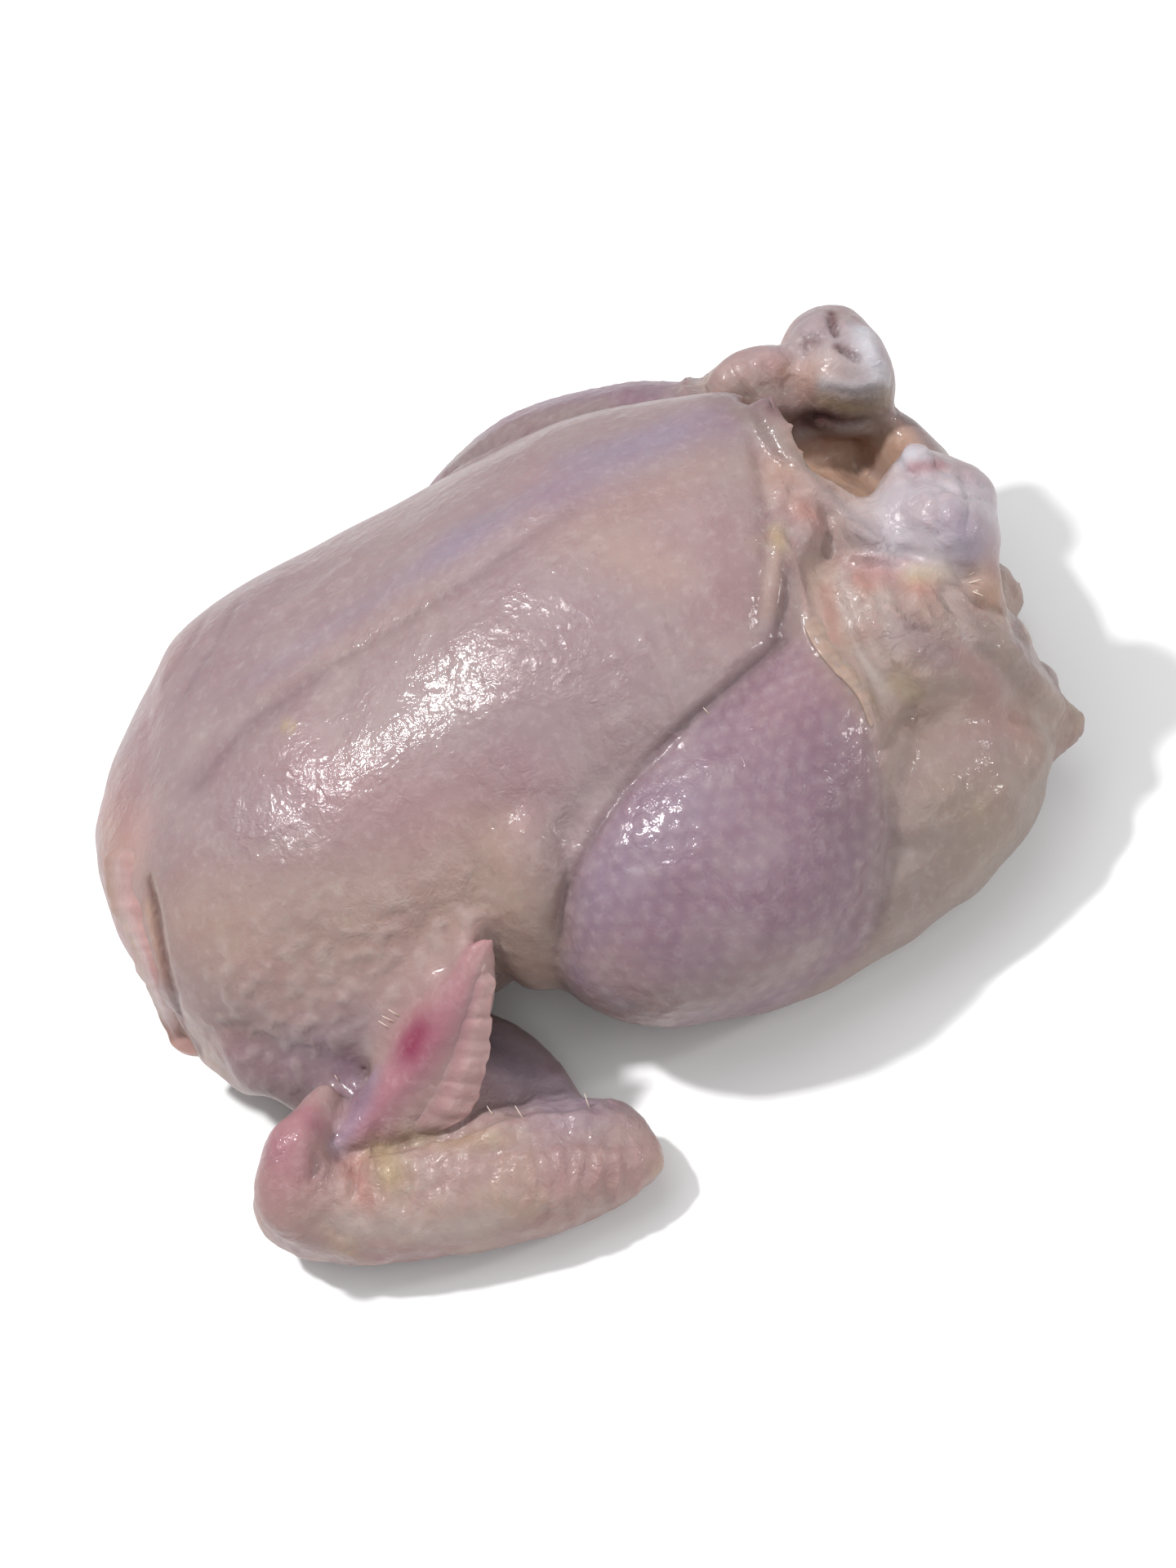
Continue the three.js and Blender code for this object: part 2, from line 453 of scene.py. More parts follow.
# %% Round the muscles
FOLDED = 0.05, 0.16  # from none to full, as a share of a cell
HELD = 0.05, 0.45
ROUNDS = 45
LAST_ROUNDS = 4  # these also soften the folds
skin = Net(carcass)
fold = skin.spread(ramp(skin.hollowness(), *FOLDED), 2)
hold = ramp(fold, *HELD)
skin.relax(ROUNDS, hold)
skin.relax(LAST_ROUNDS, hold * 0.5)
skin.store()
print("held along folds:", round(float(hold.mean()), 3), "of the net")

# %% [markdown]
# ## A finer net where the eye goes
#
# The wing, the near leg, the knuckles and the opening are full of small folds. The squares of the net that
# the camera sees there are each cut into four. The broad smooth parts stay coarse.

# %% Cut the net finer
FINE_ZONES = [  # corners of boxes round the parts with small folds, in metres
    ((-0.110, -0.130, 0.000), (0.012, -0.056, 0.080)),  # wing and flank
    ((-0.030, -0.120, 0.008), (0.080, -0.028, 0.090)),  # drumstick
    ((0.074, -0.075, 0.020), (0.140, 0.060, 0.110)),  # knuckles, opening and the skin over the shank
]


def seen_from(tree, points, normals, slack=0.002):
    """Which points the camera sees."""
    seen = np.zeros(len(points), bool)
    eye = np.array(EYE)
    facing = ((eye - points) * normals).sum(1) > 0
    for i in np.flatnonzero(facing):
        way = Vector(points[i]) - EYE
        place, _, _, _ = tree.ray_cast(EYE, way.normalized())
        seen[i] = place is not None and (place - EYE).length > way.length - slack
    return seen


near_zone = np.zeros(len(skin.points), bool)
for low, high in FINE_ZONES:
    near_zone |= ((skin.points > low) & (skin.points < high)).all(1)
chosen = np.flatnonzero(near_zone)
fine = np.zeros(len(skin.points), bool)
fine[chosen] = seen_from(skin.tree(), skin.points[chosen], skin.normals[chosen])
only(carcass)
bpy.ops.object.mode_set(mode="EDIT")
bpy.ops.mesh.select_mode(type="VERT")
bpy.ops.mesh.select_all(action="DESELECT")
bpy.ops.object.mode_set(mode="OBJECT")
carcass.data.vertices.foreach_set("select", fine)
bpy.ops.object.mode_set(mode="EDIT")
bpy.ops.mesh.select_mode(type="FACE")
bpy.ops.mesh.subdivide(number_cuts=1)
bpy.ops.object.mode_set(mode="OBJECT")
skin = Net(carcass)
skin.relax(6, 0.35)  # takes the corners off the new squares
print("net:", len(skin.points), "points,", len(skin.triangles), "triangles")

# %% [markdown]
# ## Strokes
#
# A stroke follows a route over the skin and raises or sinks it. A ridge is highest on the route, and a hem is
# a step, where one layer of skin ends on top of another. Only skin that faces the same way as the route is
# touched, so a stroke on one fold leaves the fold behind it alone. Ironing smooths the skin along a route.

# %% The tools
ROUTE_STEP = 5  # pixels


def length_along(line):
    """How far along a line each of its points lies."""
    return np.concatenate([[0], np.cumsum(np.linalg.norm(np.diff(line, axis=0), axis=1))])


def resample(line, count):
    """The same line with a number of points at even steps."""
    length = length_along(line)
    steps = np.linspace(0, length[-1], count)
    return np.stack([np.interp(steps, length, line[:, i]) for i in range(2)], 1)


def along(route, step=ROUTE_STEP):
    """Even steps along a smooth line through the pixels of a route."""
    knots = np.array(route, float)
    if len(knots) > 2:
        padded = np.vstack([2 * knots[0] - knots[1], knots, 2 * knots[-1] - knots[-2]])
        line = []
        for a, b, c, d in zip(padded, padded[1:], padded[2:], padded[3:]):
            for t in np.linspace(0, 1, 9)[:-1]:
                line.append(0.5 * (2 * b + (c - a) * t + (2 * a - 5 * b + 4 * c - d) * t * t
                                   + (3 * b - a - 3 * c + d) * t ** 3))
        knots = np.array(line + [padded[-2]])
    return resample(knots, max(2, int(length_along(knots)[-1] / step) + 1))


def drape(tree, route, far_side=False, tuck=0.0):
    """The route laid on the skin: its points and the way the skin faces there. The other side mirrors it."""
    spots, faces = [], []
    for px, py in along(route):
        place, normal = look(tree, px, py)
        if place is None:
            continue
        if far_side:
            opposite = Vector((place.x, -place.y - tuck, place.z))
            place, normal, _, _ = tree.find_nearest(opposite)
        spots.append(place)
        faces.append(normal)
    return np.array(spots), np.array(faces)


def nearest_on(spots, reach):
    """The points of the skin within reach of a route, the step of the route nearest to each, and how far."""
    low, high = spots.min(0) - reach, spots.max(0) + reach
    close = np.flatnonzero(((skin.points > low) & (skin.points < high)).all(1))
    apart = ((skin.points[close][:, None] - spots[None]) ** 2).sum(2)
    step = apart.argmin(1)
    far = np.sqrt(apart[np.arange(len(close)), step])
    within = far < reach
    return close[within], step[within], far[within]


def stroke(tree, route, width, height, hem=0, far_side=False, tuck=0.0):
    """Raises the skin along a route by height. With a hem, only on its left (1) or right (-1) side."""
    spots, faces = drape(tree, route, far_side, tuck)
    reach = width * (4 if hem else 2.5)
    close, step, far = nearest_on(spots, reach)
    alike = ramp((skin.normals[close] * faces[step]).sum(1), 0.0, 0.5)
    amount = np.exp(-(far / width) ** 2)
    if hem:
        ahead = np.gradient(spots, axis=0)
        left = np.cross(faces, ahead)
        left /= np.maximum(np.linalg.norm(left, axis=1, keepdims=True), 1e-12)
        offset = ((skin.points[close] - spots[step]) * left[step]).sum(1) * hem * (-1 if far_side else 1)
        edge = ramp(offset, -0.25 * width, 0.35 * width)
        amount = edge * np.exp(-np.maximum(offset, 0) / (1.6 * width)) * np.exp(-(far / reach * 1.6) ** 4)
    share = step / max(1, len(spots) - 1)
    amount *= np.sqrt(np.clip(np.minimum(share, 1 - share) * 5 + 0.15, 0, 1))  # it runs out at both ends
    skin.points[close] += skin.normals[close] * (alike * amount * height)[:, None]


def in_picture(points):
    """The pixels at which points are seen."""
    offset = points - np.array(EYE)
    depth = -(offset @ np.array(towards_camera))
    across = offset @ np.array(right) / depth
    down = -(offset @ np.array(up)) / depth
    middle = np.array((PICTURE_WIDTH, PICTURE_HEIGHT)) / 2
    return middle + FOCAL_PIXELS * np.stack([across, down], 1)


def mirrored(values, reach, tuck=0.0):
    """The values of the near side, carried to the nearest points of the far side."""
    near = np.flatnonzero(values > 0)
    lookup = KDTree(len(near))
    for i, spot in enumerate(skin.points[near]):
        lookup.insert(spot, i)
    lookup.balance()
    result = np.zeros(len(values))
    for i in np.flatnonzero(skin.points[:, 1] > 0):
        px, py, pz = skin.points[i]
        _, match, apart = lookup.find((px, -py - tuck, pz))
        if apart < reach:
            result[i] = values[near[match]] * (1 - (apart / reach) ** 2)
    return result


def patch(tree, outline, soft, slack=6 * MM):
    """The share of each point in an area outlined in the picture."""
    points = skin.points
    facing = ((np.array(EYE) - points) * skin.normals).sum(1) > 0
    pixels = in_picture(points)
    corners = np.array(outline, float)
    inside = np.zeros(len(points), bool)
    gap = np.full(len(points), np.inf)
    for (ax, ay), (bx, by) in zip(corners, np.roll(corners, -1, 0)):
        crosses = (ay > pixels[:, 1]) != (by > pixels[:, 1])
        at = ax + (pixels[:, 1] - ay) / (by - ay if by != ay else 1e-9) * (bx - ax)
        inside ^= crosses & (pixels[:, 0] < at)
        edge = np.array((bx - ax, by - ay))
        along_edge = np.clip((pixels - (ax, ay)) @ edge / max(edge @ edge, 1e-9), 0, 1)
        gap = np.minimum(gap, np.linalg.norm(pixels - (ax, ay) - along_edge[:, None] * edge, axis=1))
    share = ramp(np.where(inside, gap, -gap), -soft, soft) * facing
    outlined = np.flatnonzero(share > 0)
    share[outlined] *= seen_from(tree, points[outlined], skin.normals[outlined], slack)
    return share


def iron(tree, route, width, rounds):
    """Smooths the skin along a route."""
    spots, _ = drape(tree, route)
    close, _, far = nearest_on(spots, 2 * width)
    share = np.zeros((len(skin.points), 1))
    share[close, 0] = np.exp(-(far / width) ** 2)
    for _ in range(rounds):
        skin.points += 0.5 * share * (skin.mean_of_neighbours(skin.points) - skin.points)

# %% [markdown]
# ## Folds, ridges and hems
#
# Each line below is a fold that can be seen on a real bird: the hollow beside the breastbone, the deep crease
# where the drumstick lies on the breast, the hem of the skin drawn over the shank, tendons under the skin and
# the wrinkles across the wing. Those that a bird has on both sides are made on the far side too.

# %% Stroke the folds
tree = skin.tree()
IRONED = [  # route in pixels, width in millimetres, rounds
    (((640, 1080), (636, 1130), (640, 1180)), 5, 30),  # the flank beside the knee
    (((1130, 700), (1150, 760), (1180, 820)), 6, 12),  # the skin over the shank
    (((350, 1450), (380, 1490), (430, 1500)), 6, 20),  # the wrist
    (((440, 1260), (500, 1190), (560, 1130)), 4, 16),  # the flank above the hand
    (((900, 500), (960, 560), (1000, 610)), 2.5, 10),  # the rim of the opening
    (((888, 492), (905, 500), (925, 514)), 4, 18),  # the tip of the breastbone
    (((936, 504), (955, 522), (968, 541), (979, 562), (990, 584)), 4.5, 30),  # its free edge
    (((1275, 830), (1302, 872), (1290, 910)), 6, 16),  # the point of skin on the rump
    (((370, 1265), (420, 1290), (470, 1270)), 6, 24),  # the flank over the wrist
]
for route, width, rounds in IRONED:
    iron(tree, route, width * MM, rounds)
skin.find_normals()
tree = skin.tree()
# routes that serve twice
FOREARM_TOP = ((560, 1398), (610, 1386), (650, 1371), (713, 1370), (790, 1372))
FOREARM_CREASE = ((566, 1418), (620, 1408), (680, 1398), (750, 1396), (800, 1400))
HAND_BONE = ((590, 1165), (566, 1215), (535, 1270), (500, 1320), (455, 1365), (425, 1400))
NECK_EDGE = ((183, 1076), (190, 1110), (198, 1160), (208, 1205), (226, 1256), (245, 1288))
UNDER_HAND = ((405, 1412), (440, 1408), (480, 1404), (515, 1398), (552, 1392))
BOTH_SIDES = [  # route in pixels, width and height in millimetres, and the side of a hem
    # the hollow beside the breastbone, and the breastbone itself
    (((720, 610), (620, 675), (560, 722), (430, 802), (330, 870), (296, 897), (245, 961)), 2.6, -0.45),
    # the crease between drumstick and breast
    (((962, 785), (930, 812), (850, 880), (804, 925), (760, 972), (715, 1045), (690, 1105), (684, 1170)),
     1.6, -1.2),
    # the crease between drumstick and thigh
    (((1066, 905), (1082, 960), (1088, 1040), (1080, 1100), (1050, 1165), (965, 1225)), 1.9, -0.8),
    # the skin pulled over the shank ends in a hem on the drumstick
    (((972, 700), (979, 736), (992, 781), (1020, 819), (1049, 852), (1065, 888), (1074, 920)), 2.2, 1.9, 1),
    (((1000, 712), (1024, 773), (1049, 819), (1063, 860)), 1.6, 0.9),
    (((1074, 922), (1096, 890), (1124, 862)), 1.7, -1.2),
]
NEAR_SIDE = [  # the same
    # the ridge of the breastbone
    (((880, 490), (800, 535), (720, 572), (620, 635), (530, 700), (450, 760), (330, 840), (230, 940)),
     6.0, 0.6),
    # the rear edge of the breast
    (((912, 500), (930, 550), (940, 600), (942, 655), (936, 720), (930, 770)), 2.2, -1.3),
    # the taut rim of the opening
    (((952, 540), (966, 556), (1008, 604), (1047, 644), (1088, 672)), 1.7, 1.0),
    (((930, 536), (950, 566), (985, 612)), 1.5, -0.5),
    # the fold of fat beside it
    (((1010, 606), (1014, 640), (1018, 664)), 1.2, -0.6),
    (((975, 585), (965, 620), (968, 668)), 1.6, -0.6),
    # the skin ends above the shank, below the near knuckle
    (((1018, 684), (1055, 676), (1094, 682), (1130, 694), (1172, 706)), 1.4, 1.3, -1),
    (((1085, 668), (1120, 682), (1160, 692), (1195, 698)), 1.3, -0.7),
    # tendons and thin folds of skin low on the breast
    (((768, 752), (792, 790), (815, 832), (828, 870), (832, 905)), 1.1, 0.55),
    (((748, 790), (772, 820), (800, 842), (822, 852)), 1.0, 0.45),
    (((800, 742), (818, 790), (828, 830)), 1.0, 0.4),
    (((836, 820), (880, 815), (925, 790)), 1.2, 0.4),
    # strap of skin below the opening
    (((950, 660), (944, 710), (936, 765)), 1.2, 0.4),
    (((962, 690), (966, 730), (955, 775)), 1.4, -0.8),
    # folds of the skin over the shank
    (((1030, 700), (1050, 760), (1080, 820)), 1.4, 0.9),
    (((1060, 695), (1078, 740), (1100, 800)), 1.4, -0.8),
    (((1120, 712), (1130, 745), (1150, 790)), 1.3, 0.8),
    (((1150, 716), (1165, 750), (1190, 790)), 1.4, -0.8),
    (((1046, 700), (1056, 730), (1072, 742)), 0.9, 0.9),
    (((1068, 731), (1092, 742), (1111, 758), (1126, 762)), 0.9, 1.1, -1),
    (((1100, 742), (1118, 762), (1140, 776)), 1.0, -0.9),
    (((1134, 716), (1152, 742), (1178, 760)), 0.9, 1.0, -1),
    (((1166, 722), (1192, 744), (1218, 764)), 1.0, 0.9),
    (((1006, 740), (1020, 790), (1052, 846)), 1.0, 0.8),
    (((1090, 800), (1124, 822), (1150, 826)), 1.3, 0.8, -1),
    (((1190, 790), (1216, 806), (1240, 830)), 1.6, -0.8),
    (((1010, 730), (1028, 790), (1058, 840)), 1.2, -0.6),
    (((1085, 800), (1110, 835), (1118, 860)), 1.4, -0.6),
    (((1040, 705), (1075, 770), (1105, 830)), 2.4, 0.4),
    (((1090, 700), (1112, 750), (1150, 800)), 2.4, -0.5),
    (((1190, 740), (1208, 744), (1230, 752)), 1.3, -0.8),
    (((1180, 775), (1215, 790), (1255, 800)), 2.2, 0.8),
    # loose folds over the thigh and the rump
    (((1124, 862), (1160, 852), (1220, 858), (1262, 880)), 3.0, -0.6),
    (((1150, 880), (1190, 905), (1240, 905)), 3.2, 0.7),
    (((1078, 1010), (1130, 1016), (1190, 1000), (1236, 965)), 2.4, 0.7),
    (((1092, 1040), (1150, 1044), (1196, 1022)), 2.4, -0.5),
    (((1085, 966), (1130, 978), (1178, 962)), 6.0, 1.6),
    (((1110, 940), (1140, 990)), 1.4, 0.3),
    (((1140, 930), (1168, 985)), 1.4, 0.3),
    # streaks where feathers stood on the shoulder
    (((292, 735), (262, 790), (228, 850)), 1.6, -0.35),
    (((330, 740), (290, 800), (250, 860)), 1.6, -0.25),
    (((262, 740), (232, 790), (200, 840)), 1.6, -0.3),
    (((1240, 800), (1270, 830), (1306, 868)), 2.4, 0.8),
    (((1215, 815), (1250, 850), (1290, 890)), 2.4, -0.7),
    # the flank above the wing
    (((600, 1030), (625, 1080), (640, 1140)), 2.6, 0.5),
    (((575, 1040), (600, 1090), (612, 1150)), 2.4, -0.4),
    # far knuckle: the grooves between its lobes and the ends of cut tendons
    (((1006, 478), (1040, 488), (1078, 486)), 1.8, 0.5),
    (((1008, 464), (1044, 472), (1086, 466)), 1.5, 0.9),
    (((1062, 404), (1066, 425), (1078, 448)), 1.2, 0.9),
    (((1030, 392), (1044, 408), (1058, 420)), 1.2, 0.6),
    (((978, 424), (990, 412), (1004, 418)), 1.2, -0.9),
    (((1018, 385), (1020, 400), (1024, 412)), 1.2, -1.8),
    (((1026, 425), (1040, 432), (1052, 440)), 1.3, -2.0),
    (((975, 516), (1000, 512), (1030, 520), (1058, 516)), 1.8, -1.6),
    (((935, 440), (940, 470), (950, 505)), 1.4, -1.2),
    (((912, 428), (922, 452), (936, 486)), 1.2, -0.8),
    (((890, 444), (900, 464), (918, 492)), 1.2, -0.7),
    # near knuckle
    (((1098, 556), (1108, 578), (1130, 586)), 1.0, -1.1),
    (((1144, 560), (1150, 572), (1162, 580)), 0.9, -1.0),
    (((1116, 580), (1124, 596)), 0.9, -0.8),
    (((1168, 580), (1186, 586), (1208, 596)), 1.2, -0.8),
    (((1106, 552), (1122, 549), (1134, 558)), 2.0, 1.1),
    (((1186, 572), (1202, 576), (1214, 588)), 2.2, 0.8),
    (((1130, 584), (1152, 590), (1176, 602), (1212, 612)), 1.0, -0.8),
    (((1110, 612), (1130, 606), (1148, 618)), 0.9, 0.5),
    (((1118, 634), (1136, 640), (1150, 652)), 0.9, 0.5),
    (((1074, 640), (1090, 664), (1120, 678), (1160, 680), (1196, 664)), 1.4, -0.5),
    (((1140, 590), (1150, 625), (1146, 660)), 1.8, -0.8),
    (((1178, 578), (1188, 610), (1186, 650)), 1.6, -0.9),
    # the pink bone along the hand of the wing, and the thin skin behind it
    (HAND_BONE, 3.2, 1.5),
    (((596, 1180), (577, 1234), (560, 1290), (528, 1340), (495, 1392)), 1.6, -0.3),
    # thumb
    (((412, 1322), (423, 1340), (417, 1370), (402, 1408)), 1.3, -1.3),
    (((398, 1330), (378, 1362), (366, 1400)), 2.6, 0.7),
    (((386, 1410), (390, 1425), (384, 1440)), 1.1, -1.0),
    # the hand lies on the forearm
    ((*UNDER_HAND, (600, 1376)), 1.6, -1.6),
    # the fold of skin along the top of the forearm
    (FOREARM_TOP, 2.4, 1.5),
    (FOREARM_CREASE, 1.6, -1.0),
    (((470, 1424), (476, 1450), (468, 1480)), 1.3, 0.7),
    (((446, 1430), (452, 1458), (446, 1490)), 1.3, -0.6),
    (((492, 1420), (500, 1450), (490, 1486)), 1.3, -0.6),
    (((420, 1432), (424, 1462), (418, 1492)), 1.4, 0.5),
    # the neck skin hangs free of the breast
    (NECK_EDGE, 1.3, -1.3),
    # torn fold on the wrist
    (((430, 1418), (436, 1440), (428, 1470)), 1.3, -1.2),
    (((466, 1418), (462, 1445), (470, 1470)), 1.2, -0.9),
]
FAR_WING = [  # route in pixels, width and height in millimetres
    (FOREARM_TOP, 2.6, 1.4),
    (FOREARM_CREASE, 1.8, -1.0),
    (HAND_BONE, 3.2, 1.3),
    (UNDER_HAND, 1.8, -1.2),
]
WING_TUCK = 20 * MM  # how much closer to the body the far wing lies
WRINKLES = [  # across the forearm: where, in pixels, and how high
    (506, 0.6), (528, 0.8), (546, 0.6), (572, 0.9), (592, 0.7), (612, 1.0), (628, 0.6), (646, 1.2),
    (664, 0.8), (684, 1.3), (706, 1.4), (731, 1.2), (754, 1.3), (779, 1.0),
]
for route, width, height in FAR_WING:
    stroke(tree, route, width * MM, height * MM, far_side=True, tuck=WING_TUCK)
for route, width, height, *hem in BOTH_SIDES:
    for far_side in (False, True):
        stroke(tree, route, width * MM, height * MM, *hem, far_side=far_side)
for route, width, height, *hem in NEAR_SIDE:
    stroke(tree, route, width * MM, height * MM, *hem)
for px, height in WRINKLES:
    wave = 6 * math.sin(px)
    route = ((px + wave, 1396), (px + 3, 1425), (px - wave, 1458), (px - 6 + wave, 1492 + wave))
    stroke(tree, route, 1.2 * MM, 0.7 * height * MM)
    stroke(tree, route, 1.6 * MM, 0.7 * height * MM, far_side=True, tuck=WING_TUCK)
skin.find_normals()
skin.relax(1, 0.5, 0.4, 0.4)
print("strokes:", 2 * len(BOTH_SIDES) + len(NEAR_SIDE) + len(FAR_WING) + 2 * len(WRINKLES))

# %% [markdown]
# ## Goose bumps
#
# Every feather stood in its own small bump. They stand in slanting rows, close and regular on the drumstick,
# and loose and lumpy on the flank and the wing. Waves in three directions, sixty degrees apart, give regular
# rows. Noise bends the rows and gives the loose bumps. Coarser noise makes the skin and the fat ragged where
# the knife went, and the fat of the rump lumpy. The skin of the neck is gathered. Its pleats run in from
# all round to one middle, so they are waves of the angle about it, bent by noise so that no two are alike.

# %% Raise the bumps
BUMP_SPACING = 3.7 * MM


def wander(points, scale, seed, strength=1.0):
    """Smooth noise at each point, between about -1 and 1."""
    shift = Vector((seed * 7.3, seed * 3.1, seed * 5.7))
    return strength * np.array([noise.noise(Vector(p) / scale + shift) for p in points])


def along_bone(start, end):
    """How far each point lies along a bone, in metres, and its angle round the bone."""
    start, end = Vector(start), Vector(end)
    axis = np.array((end - start).normalized())
    side = np.cross(axis, (0, 0, 1))
    side /= np.linalg.norm(side)
    lift = np.cross(side, axis)
    offset = skin.points - np.array(start)
    distance = offset @ axis
    turn = np.arctan2(offset @ lift, offset @ side)
    return distance, turn


def rows(distance, girth, spacing):
    """A pattern of round bumps in slanting rows, between -0.5 and 1."""
    wave = 2 * math.pi / spacing
    total = sum(np.cos(wave * (distance * math.cos(a) + girth * math.sin(a)))
                for a in (0, math.pi / 3, 2 * math.pi / 3))
    return total / 3


KNEE, HOCK, LEG_RADIUS = (-0.008, 0.066, 0.034), (0.084, 0.040, 0.060), 0.030
DRUMSTICK = (  # its outline in the picture
    (985, 782), (930, 814), (852, 882), (806, 927), (762, 974), (717, 1047), (692, 1105), (684, 1180),
    (700, 1216), (760, 1252), (830, 1264), (960, 1232), (1050, 1172), (1086, 1100), (1090, 1000),
    (1076, 922), (1048, 852), (1018, 821), (990, 781),
)
tree = skin.tree()
drumstick = patch(tree, DRUMSTICK, 14)
drumsticks = [drumstick, mirrored(drumstick, 14 * MM)]
bend = wander(skin.points, 0.014, 1, 0.0022)
bumps = np.zeros(len(skin.points))
for side, share in zip((-1, 1), drumsticks):
    start = (KNEE[0], side * KNEE[1], KNEE[2])
    end = (HOCK[0], side * HOCK[1], HOCK[2])
    distance, turn = along_bone(start, end)
    bumps += share * (rows(distance + bend, turn * LEG_RADIUS, BUMP_SPACING) + 0.5) / 1.5
leg_share = np.maximum(*drumsticks)
x, y, z = skin.points.T
aside = np.abs(y)
flank = ramp(aside, 0.045, 0.062) * ramp(-x, 0.0, 0.03) * ramp(-z, -0.075, -0.06)
flank *= 1 - ramp(aside, 0.074, 0.080)  # the hand lies over it
flank *= ramp(z, 0.022, 0.036)
loose = ramp(wander(skin.points, 0.0036, 2), -0.1, 0.5)
lumpy = wander(skin.points, 0.014, 3)
swell = wander(skin.points, 0.022, 4)
CUT_PLACES = (  # the middle of each place where the skin and the fat are ragged, and its reach
    (-0.060, 0.078, 0.022, 0.038), (-0.010, 0.092, 0.020, 0.034), (0.092, 0.052, 0.060, 0.022),
    (0.124, 0.000, 0.018, 0.024), (0.122, 0.050, 0.024, 0.020), (0.122, -0.050, 0.024, 0.018),
    (0.114, -0.030, 0.078, 0.014), (0.112, -0.046, 0.054, 0.020), (0.088, -0.030, 0.085, 0.024),
    (0.092, -0.045, 0.066, 0.022), (0.110, 0.036, 0.071, 0.020), (-0.062, -0.098, 0.022, 0.040),
    (-0.014, -0.112, 0.020, 0.036), (-0.100, -0.050, 0.024, 0.020),
)
ragged = np.zeros(len(skin.points))
for *centre, reach in CUT_PLACES:
    ragged = np.maximum(ragged, ramp(-np.linalg.norm(skin.points - centre, axis=1), -reach, -0.5 * reach))
on_front = ramp(-x, 0.0, 0.01)
ragged *= 1 - ramp(z, 0.030, 0.037) * on_front  # not the hand
ragged *= 1 - on_front * ramp(-aside, -0.086, -0.079)  # nor the flank beside the cuts of the wing
crumbs = wander(skin.points, 0.0030, 8)
flabby = ramp(x, 0.05, 0.09) * ramp(-z, -0.07, -0.05)
NECK_PLEATS, NECK_HEIGHT = 8, 0.022
neck = ramp(-x, 0.084, 0.100) * ramp(-z, -0.066, -0.046)
turn = np.arctan2(z - NECK_HEIGHT, y)
bent = 7 * wander(skin.points, 0.020, 11)
pleats = np.sin(NECK_PLEATS * turn + bent) + 0.8 * wander(skin.points, 0.006, 12)
RELIEF = (  # each pattern and its height in millimetres
    (bumps, 0.22), (swell, 0.30), (lumpy, 0.34), (flank * loose, 0.46), (flank * lumpy, 0.25),
    (neck * pleats, 0.5), (ragged * crumbs, 0.36), (ragged * wander(skin.points, 0.0065, 9), 0.75),
    (flabby * wander(skin.points, 0.010, 10), 0.8),
)
lift = sum(pattern * height for pattern, height in RELIEF) * MM
skin.points += skin.normals * lift[:, None]
skin.find_normals()
skin.store()
print("bumps up to", round(float(lift.max() / MM), 2), "mm")

# %% [markdown]
# ## Colours of raw skin
# Raw chicken skin is nearly clear. What shows is what lies under it: pale pink breast meat, mauve dark meat
# in the leg, yellowish fat on the flank, blue-grey gristle and the bone at the joints. The colours are mixed
# on the net like paint, first the broad areas and then soft strokes along routes in the picture. Painted
# shade darkens the creases, grooves and recesses, and painted highlights lie on the glassy gristle.

# %% The palette
PALETTE = {
    "flesh": (180, 157, 157),
    "lilac": (166, 152, 176),
    "mauve": (159, 129, 145),
    "deep mauve": (132, 102, 116),
    "cream": (195, 168, 152),
    "beige": (192, 162, 156),
    "grey skin": (166, 149, 143),
    "dull olive": (170, 154, 140),
    "rose": (188, 142, 146),
    "pink": (196, 134, 148),
    "wine": (150, 36, 84),
    "salmon": (208, 152, 140),
    "rust": (216, 178, 154),
    "coral": (222, 146, 130),
    "petal": (216, 178, 174),
    "brown": (128, 98, 84),
    # dark red painted shade for recesses, slots and creases
    "maroon shade": (104, 62, 64),
    "gristle": (214, 204, 210),
    # glassy white gristle with a painted highlight on it
    "glassy white and highlight": (226, 226, 232),
    "fat": (208, 188, 138),
    "pale": (208, 194, 188),
    "shade": (118, 92, 98),
}


def linear(colour):
    """A colour as a screen stores it, turned into amounts of light."""
    share = np.array(colour) / 255
    return np.where(share <= 0.04045, share / 12.92, ((share + 0.055) / 1.055) ** 2.4)


SKIN_DEPTH = 0.54  # wet skin is darker than its colour by daylight
paint_of = {name: linear(colour) * SKIN_DEPTH for name, colour in PALETTE.items()}
tint = np.tile(paint_of["flesh"], (len(skin.points), 1))


def cover(share, name):
    """Mixes a colour of the palette into the tint by a share for each point."""
    global tint
    share = np.clip(share, 0, 1)[:, None]
    tint = tint * (1 - share) + paint_of[name] * share


def brush(tree, route, width, name, strength=0.8, far_side=False, tuck=0.0):
    """A soft stroke of colour along a route in pixels."""
    spots, faces = drape(tree, route, far_side, tuck)
    close, step, far = nearest_on(spots, width * 2)
    alike = ramp((skin.normals[close] * faces[step]).sum(1), -0.1, 0.4)
    share = np.zeros(len(skin.points))
    share[close] = np.exp(-(far / width) ** 2) * alike * strength
    cover(share, name)


